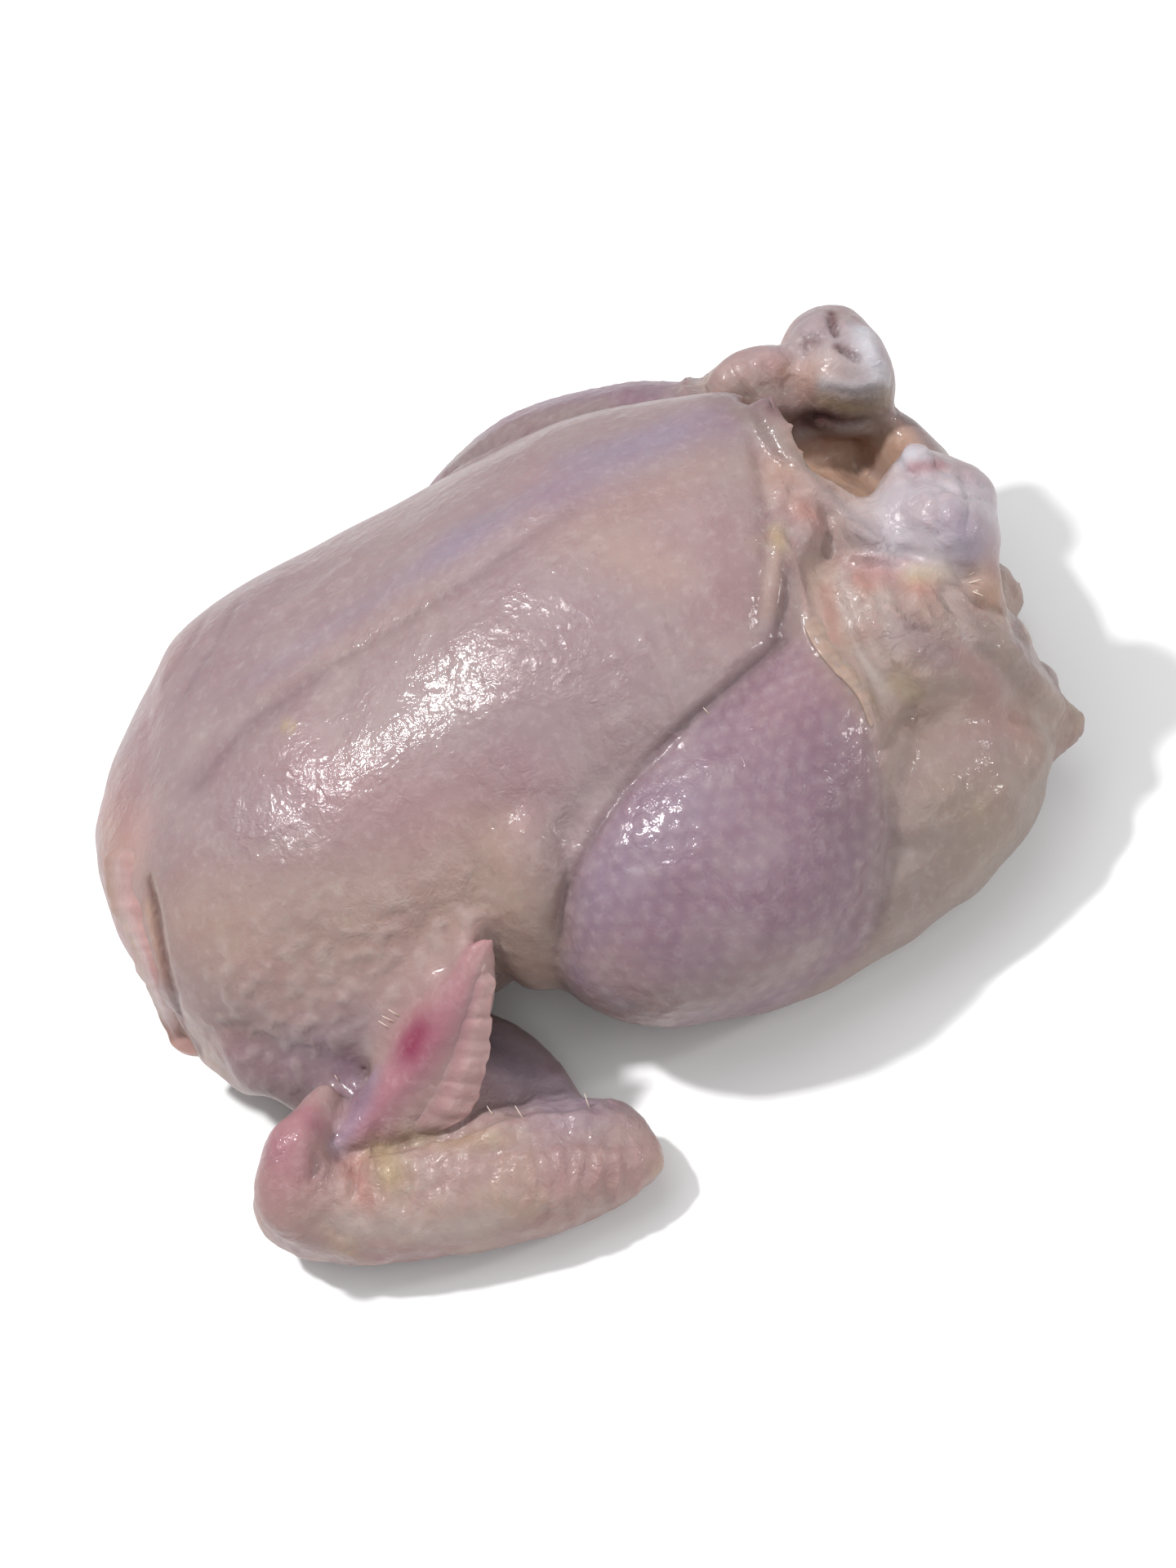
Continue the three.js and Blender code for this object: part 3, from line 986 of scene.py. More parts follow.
# %% Broad areas
x, y, z = skin.points.T  # in metres, as are the limits of each area
aside = np.abs(y)
cloud = wander(skin.points, 0.03, 5)
cloud_small = wander(skin.points, 0.009, 6)
cover(ramp(z + 0.01 * cloud, 0.055, 0.035) * ramp(-x, -0.02, 0.0) * 0.75, "cream")
cover(ramp(-z, -0.03, -0.008) * 0.6, "beige")
cover(ramp(x, 0.06, 0.10) * ramp(-z, -0.08, -0.05) * 0.7, "grey skin")
cover(ramp(-z, -0.05, -0.03) * ramp(x, 0.0, 0.05) * ramp(aside, 0.04, 0.07) * 0.7, "dull olive")
cover(leg_share * 0.9, "mauve")
cover(ramp(aside - 0.1 * (x + 0.05), 0.080, 0.088) * ramp(-x, -0.02, 0.01), "beige")
cover(ramp(-x + 0.004 * cloud_small, 0.086, 0.108) * ramp(-z, -0.066, -0.03) * 0.45, "salmon")
cover(neck * ramp(pleats, 0.0, 1.0) * 0.35, "petal")
cover(neck * ramp(-pleats, 0.2, 1.2) * 0.30, "rose")
centre = np.stack([x, np.full_like(x, 0.002), 0.044 + 0.45 * np.clip(x, 0, 0.1)], 1)
inwards = ((centre - skin.points) * skin.normals).sum(1)
in_cavity = ramp(inwards, 0.0, 0.004) * ramp(-np.linalg.norm(centre - skin.points, axis=1), -0.034, -0.028)
in_cavity *= ramp(-x, -0.112, -0.100) * ramp(x, -0.02, 0.0)
cover(in_cavity, "rust")
cover(ramp(cloud, 0.15, 0.6) * 0.25, "rose")
cover(ramp(-cloud_small, 0.1, 0.6) * 0.18, "pale")
cover(ragged * ramp(crumbs, 0.0, 0.5) * 0.35, "pale")
cover(ragged * ramp(-crumbs, 0.05, 0.5) * 0.35, "rose")
cover(ragged * ramp(cloud_small, 0.1, 0.5) * 0.30, "fat")
tail = ramp(x, 0.110, 0.128) * ramp(-z, -0.034, -0.022) * ramp(-aside, -0.03, -0.02)
cover(tail * 0.6, "cream")
cover(tail * ramp(cloud_small, 0.0, 0.4) * 0.5, "rose")

# %% Strokes of colour
# areas that are coloured on both sides
WRIST = ((340, 1380), (340, 1430), (360, 1470))
FOREARM = ((380, 1480), (500, 1500), (640, 1480), (760, 1440))
ELBOW_SKIN = ((600, 1290), (660, 1330), (720, 1350))
FLANK = ((230, 1130), (330, 1180), (460, 1160), (560, 1110))
SHANK_TOP = ((1010, 710), (1080, 730), (1150, 745))
SHANK_MIDDLE = ((1040, 780), (1110, 800), (1180, 790))
SHANK_CUT = ((1060, 700), (1110, 690), (1140, 700))
RUMP_SIDE = ((1130, 900), (1100, 1000), (1090, 1080))
NEAR_COLOURS = [  # route in pixels, width in millimetres, colour, strength
    # along the breastbone
    (((860, 520), (740, 572), (620, 635), (560, 668)), 9, "lilac", 0.45),
    (((560, 668), (450, 745), (330, 825)), 7, "lilac", 0.3),
    (((650, 640), (560, 700), (430, 785), (330, 850)), 5, "cream", 0.3),
    (((700, 625), (560, 722), (430, 802), (330, 870), (296, 897), (245, 961)), 1.8, "shade", 0.28),
    (((870, 560), (760, 620), (690, 660)), 9, "cream", 0.3),
    (((560, 560), (650, 515), (750, 500)), 5, "grey skin", 0.7),
    (((210, 800), (180, 880), (160, 980)), 9, "rose", 0.3),
    (((700, 560), (820, 530)), 6, "lilac", 0.35),
    (((292, 735), (262, 790), (228, 850)), 1.6, "shade", 0.22),
    (((262, 740), (232, 790), (200, 840)), 1.6, "shade", 0.18),
    (((400, 965), (520, 1000)), 13, "rose", 0.35),
    (((620, 700), (700, 755)), 11, "mauve", 0.25),
    (((330, 720), (250, 830)), 11, "mauve", 0.25),
    (((320, 1000), (250, 1090)), 13, "mauve", 0.25),
    (((350, 886), (356, 890)), 1.2, "fat", 0.7),
    (((640, 940), (560, 1020), (500, 1060)), 9, "mauve", 0.1),
    # the middle of the breast
    (((440, 860), (560, 790), (660, 730)), 9, "flesh", 0.6),
    (((640, 900), (700, 860), (760, 820)), 10, "mauve", 0.15),
    (((770, 680), (815, 700)), 7, "rust", 0.28),
    (((240, 960), (300, 900), (380, 830)), 5, "deep mauve", 0.25),
    (((860, 640), (900, 700), (890, 760)), 9, "rose", 0.3),
    (((902, 486), (900, 520)), 6, "mauve", 0.4),
    # flank and shoulder
    (FLANK, 13, "cream", 0.6),
    (((600, 1032), (640, 1143)), 9, "cream", 0.5),
    (((250, 1250), (320, 1265), (380, 1290)), 9, "beige", 0.8),
    (((300, 1265), (330, 1275)), 5, "brown", 0.3),
    (((390, 1310), (350, 1340), (300, 1320)), 7, "mauve", 0.3),
    (((620, 1200), (650, 1225)), 7, "brown", 0.45),
    (((672, 1120), (680, 1185)), 2.5, "shade", 0.3),
    # drumstick
    (((720, 1110), (760, 1060), (830, 990)), 10, "lilac", 0.25),
    (((940, 860), (1000, 830)), 9, "rose", 0.25),
    (((1040, 960), (1060, 1060), (1030, 1130)), 10, "deep mauve", 0.4),
    (((780, 1235), (880, 1220), (980, 1180)), 9, "dull olive", 0.5),
    (((700, 1190), (760, 1230)), 6, "lilac", 0.3),
    # crease between drumstick and breast
    (((960, 785), (930, 812), (850, 880), (804, 925), (760, 972), (715, 1045), (690, 1105), (684, 1170)),
     1.8, "shade", 0.45),
    # rump and thigh
    (RUMP_SIDE, 10, "dull olive", 0.35),
    (((1100, 930), (1170, 930), (1240, 900)), 10, "cream", 0.5),
    (((1240, 820), (1290, 870), (1300, 930)), 8, "cream", 0.35),
    (((1110, 950), (1170, 930), (1220, 900)), 6, "flesh", 0.5),
    (((1120, 880), (1150, 870)), 3, "brown", 0.4),
    (((1190, 850), (1240, 880)), 5, "salmon", 0.3),
    (((1160, 980), (1200, 1000)), 7, "fat", 0.18),
    (((1150, 1000), (1120, 1100)), 9, "grey skin", 0.5),
    # the skin over the shank
    (SHANK_TOP, 8, "cream", 0.7),
    (SHANK_MIDDLE, 9, "cream", 0.6),
    (((1075, 860), (1120, 835), (1180, 840)), 7, "cream", 0.6),
    (((1200, 780), (1250, 820)), 7, "grey skin", 0.7),
    (((1140, 790), (1180, 830)), 6, "grey skin", 0.5),
    (((1000, 700), (1020, 770), (1060, 840)), 6, "cream", 0.5),
    (SHANK_CUT, 4.5, "salmon", 0.7),
    (((1088, 686), (1108, 696), (1126, 712)), 3.0, "coral", 0.7),
    (((1052, 712), (1066, 720)), 2.0, "coral", 0.35),
    (((1085, 682), (1110, 703)), 4, "rose", 0.6),
    (((1030, 704), (1044, 760)), 2.6, "pale", 0.6),
    (((1012, 722), (1022, 780)), 2.0, "salmon", 0.4),
    (((1080, 732), (1098, 790)), 3, "pale", 0.55),
    (((1162, 732), (1186, 782)), 3, "pale", 0.45),
    (((1060, 800), (1082, 850)), 3, "pale", 0.55),
    (((1110, 770), (1150, 800)), 4, "mauve", 0.35),
    (((1180, 800), (1215, 840)), 4, "rose", 0.35),
    (((1100, 835), (1118, 850)), 3, "fat", 0.3),
    (((1120, 702), (1160, 693)), 3.2, "fat", 0.8),
    (((1195, 700), (1218, 740)), 5, "rust", 0.8),
    (((1196, 738), (1228, 750)), 2, "brown", 0.6),
    # the opening
    (((985, 570), (1040, 545), (1095, 552)), 9, "rust", 0.95),
    (((1010, 590), (1050, 590), (1050, 620)), 8, "rust", 0.95),
    (((905, 500), (932, 520), (962, 548), (1006, 597), (1047, 638), (1088, 671)), 3, "grey skin", 0.9),
    (((968, 596), (1000, 610), (1005, 640)), 5, "beige", 0.8),
    (((985, 625), (996, 632)), 3, "salmon", 0.5),
    (((950, 650), (955, 668)), 2.2, "fat", 0.5),
    (((950, 690), (944, 745)), 3, "cream", 0.7),
    (((965, 700), (950, 780)), 3, "shade", 0.5),
    # far leg
    (((885, 460), (925, 438)), 6, "beige", 0.8),
    (((880, 485), (940, 478)), 4, "grey skin", 0.6),
    # far knuckle, with dark red painted shade in its recess and slots and painted highlights on its glassy
    # lip
    (((985, 420), (1060, 420)), 13, "gristle", 0.45),
    (((960, 488), (1010, 506), (1060, 508)), 7, "grey skin", 0.9),
    (((1008, 470), (1050, 478), (1088, 470)), 2, "glassy white and highlight", 0.8),
    (((1000, 492), (1040, 500), (1080, 494)), 5, "brown", 0.4),
    (((1013, 492), (1050, 500), (1086, 492)), 2.2, "fat", 0.45),
    (((950, 500), (980, 512), (1013, 516)), 4.5, "maroon shade", 0.55),
    (((955, 450), (985, 470)), 5, "salmon", 0.3),
    (((988, 420), (1000, 416)), 2.2, "maroon shade", 0.55),
    (((1018, 385), (1024, 412)), 1.3, "maroon shade", 0.8),
    (((1026, 425), (1052, 440)), 1.4, "maroon shade", 0.8),
    (((1058, 404), (1078, 460)), 3.5, "glassy white and highlight", 0.9),
    (((1078, 485), (1074, 500)), 4, "dull olive", 0.8),
    (((975, 514), (1012, 508), (1040, 520)), 3, "maroon shade", 0.5),
    (((985, 531), (1030, 529), (1062, 526)), 2.2, "pale", 0.7),
    # near knuckle, with a painted highlight on its small glassy top lobe
    (((1090, 610), (1150, 600), (1200, 610)), 10, "gristle", 0.95),
    (((1100, 660), (1170, 670)), 7, "gristle", 0.9),
    (((1112, 556), (1130, 560)), 4, "glassy white and highlight", 0.9),
    (((1175, 640), (1190, 675)), 5, "lilac", 0.5),
    (((1120, 572), (1150, 570)), 2, "rose", 0.8),
    # neck
    (((130, 1020), (160, 1040), (165, 1070)), 6, "cream", 0.6),
    (((130, 1080), (160, 1150), (195, 1240), (230, 1290)), 6, "salmon", 0.4),
    (((188, 1083), (190, 1117)), 2.5, "fat", 0.25),
    (((180, 1113), (205, 1200)), 2.5, "rust", 0.6),
    # wing
    (((590, 1155), (566, 1210), (535, 1260), (495, 1310), (440, 1375)), 6, "pink", 0.85),
    (((600, 1190), (590, 1280), (560, 1370)), 5, "beige", 0.8),
    (((520, 1251), (500, 1280)), 7, "pink", 0.7),
    (((512, 1262), (502, 1280)), 4.4, "wine", 0.9),
    (((414, 1400), (436, 1360), (455, 1320)), 3, "lilac", 0.6),
    (WRIST, 9, "rose", 0.8),
    (((345, 1400), (360, 1440)), 6, "pink", 0.5),
    (((376, 1362), (384, 1375)), 4, "pink", 0.7),
    (FOREARM, 8, "cream", 0.5),
    (((436, 1425), (446, 1466)), 3.4, "salmon", 0.6),
    (((470, 1412), (480, 1440)), 4, "fat", 0.6),
    (((560, 1420), (700, 1405), (790, 1400)), 6, "beige", 0.7),
    (((500, 1392), (540, 1398), (600, 1392)), 3, "fat", 0.35),
    (((690, 1445), (780, 1430)), 5, "rose", 0.35),
    (((420, 1500), (520, 1510), (600, 1495)), 4, "pale", 0.5),
    (ELBOW_SKIN, 11, "flesh", 0.6),
    (((610, 1285), (660, 1320)), 5, "grey skin", 0.4),
    (((300, 1300), (380, 1330), (420, 1290)), 8, "mauve", 0.55),
    (((360, 1280), (440, 1250)), 6, "lilac", 0.35),
    (((422, 1306), (440, 1345)), 4.5, "mauve", 0.9),
    (((300, 1120), (450, 1110), (600, 1090)), 14, "cream", 0.45),
    (((330, 1220), (430, 1225), (520, 1190)), 11, "petal", 0.35),
    (((640, 1120), (655, 1180)), 8, "cream", 0.6),
    (((600, 1270), (650, 1320), (700, 1350)), 12, "lilac", 0.5),
    # dark red painted shade in the crease where the neck skin hangs free of the breast
    (NECK_EDGE, 1.3, "maroon shade", 0.7),
    (((170, 1020), (150, 1060)), 8, "petal", 0.5),
    (((124, 960), (140, 1010), (150, 1050)), 9, "salmon", 0.35),
    (((1008, 480), (1076, 488)), 2, "grey skin", 0.6),
]
tree = skin.tree()
for route, width, name, strength in NEAR_COLOURS:
    brush(tree, route, width * MM, name, strength)
FAR_COLOURS = [  # the same for the far side, and how far a wing is tucked in
    (((560, 1180), (545, 1240), (500, 1310), (440, 1375)), 7, "pink", 0.6, WING_TUCK),
    (WRIST, 9, "rose", 0.7, WING_TUCK),
    (FOREARM, 9, "cream", 0.5, WING_TUCK),
    (ELBOW_SKIN, 10, "mauve", 0.7, WING_TUCK),
    (((470, 1412), (560, 1405)), 4, "fat", 0.4, WING_TUCK),
    (FLANK, 14, "cream", 0.5),
    (SHANK_TOP, 8, "cream", 0.7),
    (SHANK_MIDDLE, 9, "cream", 0.6),
    (SHANK_CUT, 4.5, "salmon", 0.5),
    (RUMP_SIDE, 10, "dull olive", 0.5),
]
for route, width, name, strength, *tuck in FAR_COLOURS:
    brush(tree, route, width * MM, name, strength, True, *tuck)
cover(bumps * 0.16, "pale")
cover(flank * loose * 0.34, "pale")
# painted shade where the net folds inwards
creased = skin.spread(ramp(skin.hollowness(), 0.05, 0.30), 1)
cover(creased * 0.32, "shade")
print("strokes of colour:", len(NEAR_COLOURS) + len(FAR_COLOURS))

# %% [markdown]
# ## What the net keeps
#
# The colour of each point is stored on the net, and so is a mark for crinkled skin. The film of water is most
# broken up where the skin is cut or finely wrinkled, and there the marks make the small bumps stronger.

# %% Store what the shader reads
def attribute(piece, name, kind, values):
    """Stores a value for each point of a piece, under a name."""
    layer = piece.data.attributes.new(name, kind, "POINT")
    values = np.asarray(values, np.float32)
    layer.data.foreach_set("color" if kind == "FLOAT_COLOR" else "value", values.ravel())


skin.store()
attribute(carcass, "tint", "FLOAT_COLOR", np.hstack([tint, np.ones((len(tint), 1))]))
CRINKLES = [  # route in pixels, width in millimetres
    (((640, 800), (700, 835), (760, 865)), 7), (((620, 945), (670, 990)), 6),
    (((290, 1000), (385, 1045)), 6), (((350, 880), (352, 930)), 4), (((590, 645), (650, 625)), 4),
    (((1060, 955), (1175, 975)), 6), (((790, 965), (880, 940), (960, 950)), 6),
    (((1000, 990), (1015, 1080)), 5), (((420, 1130), (560, 1080)), 8), (((330, 1400), (350, 1440)), 6),
    (((660, 1410), (790, 1420)), 5), (((960, 440), (1080, 440)), 10), (((1120, 620), (1160, 650)), 7),
    (((1060, 740), (1180, 760)), 8),
]
crinkled = ragged.copy()
for route, width in CRINKLES:
    spots, _ = drape(tree, route)
    close, _, far = nearest_on(spots, 2 * width * MM)
    crinkled[close] = np.maximum(crinkled[close], np.exp(-(far / (width * MM)) ** 2))
attribute(carcass, "crinkled", "FLOAT", crinkled)

# %% [markdown]
# ## Wet skin
#
# Raw skin has three layers of look. Light goes in a few millimetres and comes out pinker, which softens every
# edge: that is subsurface scattering. The skin itself is satin. On top lies a film of water, thin and clear,
# which makes small sharp highlights. The film is a coat. The highlights look crinkled because pores and fine
# wrinkles break them up, so the bumps feed both the skin and the coat. A bird seen in soft light has no
# bright rim, so the coat thins out where the skin turns away from the eye.

# %% The skin's material
def shader(name):
    """A new material, its nodes and its main shader."""
    material = bpy.data.materials.new(name)
    material.use_nodes = True
    nodes = material.node_tree.nodes
    return material, nodes, nodes["Principled BSDF"]


def link(material, out, into):
    """Leads one socket into another."""
    material.node_tree.links.new(out, into)


def texture(material, kind, scale, **settings):
    """A texture laid in the object's own space, so that it moves with the bird."""
    nodes = material.node_tree.nodes
    space = next((n for n in nodes if n.type == "TEX_COORD"), None) or nodes.new("ShaderNodeTexCoord")
    made = nodes.new(kind)
    link(material, space.outputs["Object"], made.inputs["Vector"])
    made.inputs["Scale"].default_value = scale
    for key, value in settings.items():
        if key in made.inputs:
            made.inputs[key].default_value = value
        else:
            setattr(made, key, value)
    return made


def remap(material, value, low, high, to_low, to_high):
    """A value between low and high, turned into one between two others."""
    node = material.node_tree.nodes.new("ShaderNodeMapRange")
    link(material, value, node.inputs["Value"])
    for key, number in (("From Min", low), ("From Max", high), ("To Min", to_low), ("To Max", to_high)):
        node.inputs[key].default_value = number
    return node.outputs["Result"]


def mix(material, kind, factor, first, second):
    """Two colours laid over each other."""
    node = material.node_tree.nodes.new("ShaderNodeMix")
    node.data_type = "RGBA"
    node.blend_type = kind
    for socket, value in zip((node.inputs[0], node.inputs[6], node.inputs[7]), (factor, first, second)):
        if isinstance(value, bpy.types.NodeSocket):
            link(material, value, socket)
        else:
            socket.default_value = value
    return node.outputs[2]


def bump(material, height, distance, strength):
    """The way the surface faces once fine relief is added."""
    node = material.node_tree.nodes.new("ShaderNodeBump")
    link(material, height, node.inputs["Height"])
    node.inputs["Distance"].default_value = distance
    node.inputs["Strength"].default_value = strength
    return node.outputs["Normal"]


def plus(material, first, second, share):
    """The first value plus a share of the second."""
    node = material.node_tree.nodes.new("ShaderNodeMath")
    node.operation = "MULTIPLY_ADD"
    link(material, second, node.inputs[0])
    node.inputs[1].default_value = share
    link(material, first, node.inputs[2])
    return node.outputs[0]


def times(material, first, second):
    """One value times another."""
    node = material.node_tree.nodes.new("ShaderNodeMath")
    node.operation = "MULTIPLY"
    link(material, first, node.inputs[0])
    link(material, second, node.inputs[1])
    return node.outputs[0]


def wet_skin(name, attribute_name=None, colour=None, crinkle=1.0, film=0.5, depth=0.004):
    """Skin under a film of water. Its colour is read from the net or the same all over."""
    material, nodes, principled = shader(name)
    if attribute_name:
        source = nodes.new("ShaderNodeAttribute")
        source.attribute_name = attribute_name
        base = source.outputs["Color"]
    else:
        source = nodes.new("ShaderNodeRGB")
        source.outputs[0].default_value = (*linear(colour), 1)
        base = source.outputs[0]
    blotch = texture(material, "ShaderNodeTexNoise", 70, Detail=4.0, Roughness=0.6)
    fleck = texture(material, "ShaderNodeTexNoise", 420, Detail=3.0, Roughness=0.6)
    cells = texture(material, "ShaderNodeTexVoronoi", 235, Randomness=0.5)
    looks = base
    for kind, source, low, high, to_low, to_high, colour in (
        ("MULTIPLY", blotch.outputs["Fac"], 0.42, 0.68, 0.0, 0.4, (0.86, 0.74, 0.78, 1)),  # blotches
        ("SCREEN", fleck.outputs["Fac"], 0.52, 0.72, 0.0, 0.2, (0.20, 0.19, 0.18, 1)),  # pale flecks
        ("MULTIPLY", cells.outputs["Distance"], 0.30, 0.62, 0.0, 0.2, (0.84, 0.76, 0.78, 1)),  # between pores
        ("MULTIPLY", cells.outputs["Distance"], 0.04, 0.13, 0.24, 0.0, (0.62, 0.46, 0.42, 1)),  # pores
    ):
        looks = mix(material, kind, remap(material, source, low, high, to_low, to_high), looks, colour)
    link(material, looks, principled.inputs["Base Color"])
    principled.inputs["Subsurface Weight"].default_value = 0.30
    principled.inputs["Subsurface Radius"].default_value = (1.0, 0.40, 0.28)
    principled.inputs["Subsurface Scale"].default_value = depth
    satin = remap(material, fleck.outputs["Fac"], 0.35, 0.65, 0.36, 0.52)
    link(material, satin, principled.inputs["Roughness"])
    wrinkle = texture(material, "ShaderNodeTexNoise", 260, Detail=4.0, Roughness=0.62, Distortion=0.5)
    height = plus(material, wrinkle.outputs["Fac"], cells.outputs["Distance"], 0.22)
    torn = nodes.new("ShaderNodeAttribute")
    torn.attribute_name = "crinkled"
    calm = remap(material, blotch.outputs["Fac"], 0.40, 0.60, 0.40, 1.3)
    calm = plus(material, calm, torn.outputs["Fac"], 1.5)
    normal = bump(material, times(material, height, calm), 0.00040 * crinkle, 0.8)
    link(material, normal, principled.inputs["Normal"])
    link(material, normal, principled.inputs["Coat Normal"])
    edge = nodes.new("ShaderNodeLayerWeight")
    edge.inputs["Blend"].default_value = 0.3
    water = remap(material, edge.outputs["Facing"], 0.45, 0.95, film, 0.1 * film)
    link(material, water, principled.inputs["Coat Weight"])
    principled.inputs["Coat Roughness"].default_value = 0.07
    principled.inputs["Coat IOR"].default_value = 1.33
    principled.inputs["Specular IOR Level"].default_value = 0.12
    return material


skin_look = wet_skin("wet skin", attribute_name="tint")
carcass.data.materials.clear()
carcass.data.materials.append(skin_look)
only(carcass)
bpy.ops.object.shade_smooth()

# %% [markdown]
# ## Loose skin
#
# In three places the skin ends in a thin edge: the flap at the neck, the frilled skin behind the wing's hand
# and the hem over the shank. The one net can't hold an edge that thin, so each is its own sheet: a grid laid
# between two routes, given a thickness and subdivided. Its first edge and its ends sink into the skin below.

# %% Lay a sheet of skin
SHEET_TURNS = 2
SHEET_COLUMNS = 9
SHEET_ROUNDS = 6  # of smoothing
FINE_STEP = 2  # pixels
PINCH = 0.12  # the share of a sheet's length over which it narrows to its end
DEPTH_STEP = 0.9 * MM  # how much further off each column may lie than the one before
SINK = 0.9 * MM  # how deep the ends of a sheet lie under the skin


def lay_on_skin(pixels, step):
    """Where a grid of pixels lies on the skin, and the way that the skin faces there."""
    tree = skin.tree()
    spots, faces = np.zeros((2, len(pixels), SHEET_COLUMNS, 3))
    last = AIM
    for i, j in np.ndindex(spots.shape[:2]):
        place, normal = look(tree, *pixels[i, j])
        if place is None:
            place, normal = beside(*pixels[i, j], last), towards_camera
        last = place
        spots[i, j] = place
        faces[i, j] = (normal + towards_camera * 0.7).normalized()
    depth = (spots - np.array(EYE)) @ np.array(towards_camera)
    for j in range(1, SHEET_COLUMNS):  # where the skin below drops away, the sheet goes on as it was
        depth[:, j] = depth[:, j - 1] + np.clip(depth[:, j] - depth[:, j - 1], -step, step)
    for _ in range(SHEET_ROUNDS):
        padded = np.pad(depth, 1, mode="edge")
        around = padded[2:, 1:-1] + padded[:-2, 1:-1] + padded[1:-1, 2:] + padded[1:-1, :-2]
        depth = 0.5 * depth + 0.125 * around
    for i, j in np.ndindex(depth.shape):
        way = sight(*pixels[i, j])
        spots[i, j] = np.array(EYE) + np.array(way) * depth[i, j] / way.dot(towards_camera)
    return spots, faces


def sheet_tint(spots, colours, fray):
    """Colours from the first edge to the second. Towards that edge and the ends they turn into the skin's."""
    share, across = (np.linspace(0, 1, count) for count in spots.shape[:2])
    knots = np.linspace(0, 1, len(colours))
    shades = np.stack([np.interp(across, knots, [paint_of[c][k] for c in colours]) for k in range(3)], 1)
    shades = shades[None] * np.clip(1 + 0.10 * fray[:, None, None], 0.8, 1.2)
    own = ramp(across, 0, 0.4)[None] * ramp(np.minimum(share, 1 - share), 0, 2 * PINCH)[:, None]
    for i, j in np.ndindex(own.shape):
        _, nearest, _ = skin_points.find(spots[i, j])
        shades[i, j] = own[i, j] * shades[i, j] + (1 - own[i, j]) * tint[nearest]
    return np.concatenate([shades, np.ones((*own.shape, 1))], 2)


def sheet(name, first, second, rows, lifts, thickness, colours, ripple, waves, frill, seed, step=DEPTH_STEP):
    """Skin between two routes in pixels. Lifts and colours run from the first route to the second."""
    chance = random.Random(seed)
    a_line, b_line = (resample(along(route, FINE_STEP), rows) for route in (first, second))
    fray = np.array([chance.uniform(-1, 1) for _ in range(rows)])
    b_line = b_line + frill * fray[:, None] * np.array((1.0, -0.35))
    share = np.linspace(0, 1, rows)
    from_end = np.minimum(share, 1 - share)[:, None]
    b_line = a_line + (b_line - a_line) * np.sqrt(np.clip(from_end / PINCH + 0.02, 0, 1))
    columns = np.arange(SHEET_COLUMNS)[None, :, None]
    pixels = a_line[:, None] + (b_line - a_line)[:, None] * columns / (SHEET_COLUMNS - 1)
    spots, faces = lay_on_skin(pixels, step)
    across = np.linspace(0, 1, SHEET_COLUMNS)
    end = ramp(from_end, 0, 1.5 * PINCH)
    lift = np.interp(across, np.linspace(0, 1, len(lifts)), lifts)[None, :] * MM * end - (1 - end) * SINK
    loose_waves = np.convolve(np.pad(fray, 2, mode="edge"), (0.2, 0.3, 0.4, 0.3, 0.2), "valid")
    wave = np.sin(np.linspace(0, waves * 2 * math.pi, rows) + 1.6 * loose_waves) + loose_waves
    wave = ripple * MM * wave[:, None]
    spots = spots + faces * (lift + wave * np.sin(across * math.pi * 0.5 + 0.3)[None, :])[..., None]
    bpy.ops.object.select_all(action="DESELECT")
    bpy.ops.mesh.primitive_grid_add(x_subdivisions=SHEET_COLUMNS - 1, y_subdivisions=rows - 1)
    piece = bpy.context.object
    piece.name = name
    piece.data.vertices.foreach_set("co", spots.astype(np.float32).ravel())
    piece.data.update()
    attribute(piece, "tint", "FLOAT_COLOR", sheet_tint(spots, colours, fray))
    apply_modifier(piece, "SOLIDIFY", thickness=thickness * MM, offset=-1)
    apply_modifier(piece, "SUBSURF", levels=SHEET_TURNS, render_levels=SHEET_TURNS)
    only(piece)
    bpy.ops.object.mode_set(mode="EDIT")
    bpy.ops.mesh.select_all(action="SELECT")
    bpy.ops.mesh.normals_make_consistent(inside=False)
    bpy.ops.object.mode_set(mode="OBJECT")
    bpy.ops.object.shade_smooth()
    piece.data.materials.append(skin_look)
    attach(piece, "root")
    print(name + ":", len(piece.data.polygons), "faces")


# %% The sheets
skin_points = KDTree(len(skin.points))
for i, spot in enumerate(skin.points):
    skin_points.insert(spot, i)
skin_points.balance()
sheet(
    "wing_skin",
    ((592, 1176), (570, 1238), (551, 1296), (524, 1350), (497, 1394)),
    ((600, 1166), (602, 1200), (598, 1250), (596, 1290), (590, 1325), (577, 1358), (556, 1378), (541, 1397)),
    rows=46, lifts=(-0.9, 0.35, 0.9), thickness=0.9, colours=("pink", "petal", "petal"),
    ripple=0.25, waves=9, frill=2.6, seed=4,
)
sheet(
    "neck_flap",
    ((176, 1020), (182, 1052), (185, 1086), (188, 1126), (196, 1160), (203, 1190), (210, 1222), (224, 1262),
     (248, 1293)),
    ((136, 1010), (128, 1045), (127, 1076), (132, 1100), (144, 1126), (158, 1155), (171, 1182), (182, 1218),
     (203, 1262), (214, 1289), (238, 1300)),
    rows=44, lifts=(-1.0, 0.9, 0.4), thickness=1.1, colours=("salmon", "petal", "cream"),
    ripple=0.4, waves=4, frill=2.0, seed=7, step=2.4 * MM,
)
sheet(
    "shank_hem",
    ((1004, 726), (1012, 744), (1024, 770), (1046, 806), (1072, 838), (1088, 868), (1094, 905)),
    ((979, 730), (983, 750), (991, 781), (1019, 820), (1048, 850), (1064, 886), (1073, 917)),
    rows=40, lifts=(-0.8, 0.3, 0.6), thickness=0.9, colours=("cream", "cream", "cream"),
    ripple=0.15, waves=6, frill=1.0, seed=9,
)

# %% [markdown]
# ## Stubs and torn fibres
#
# A few fine quills are left in the skin of the wing, and white fibres stand out where the shank was cut. Each
# is a thin cone. They are joined into one piece.

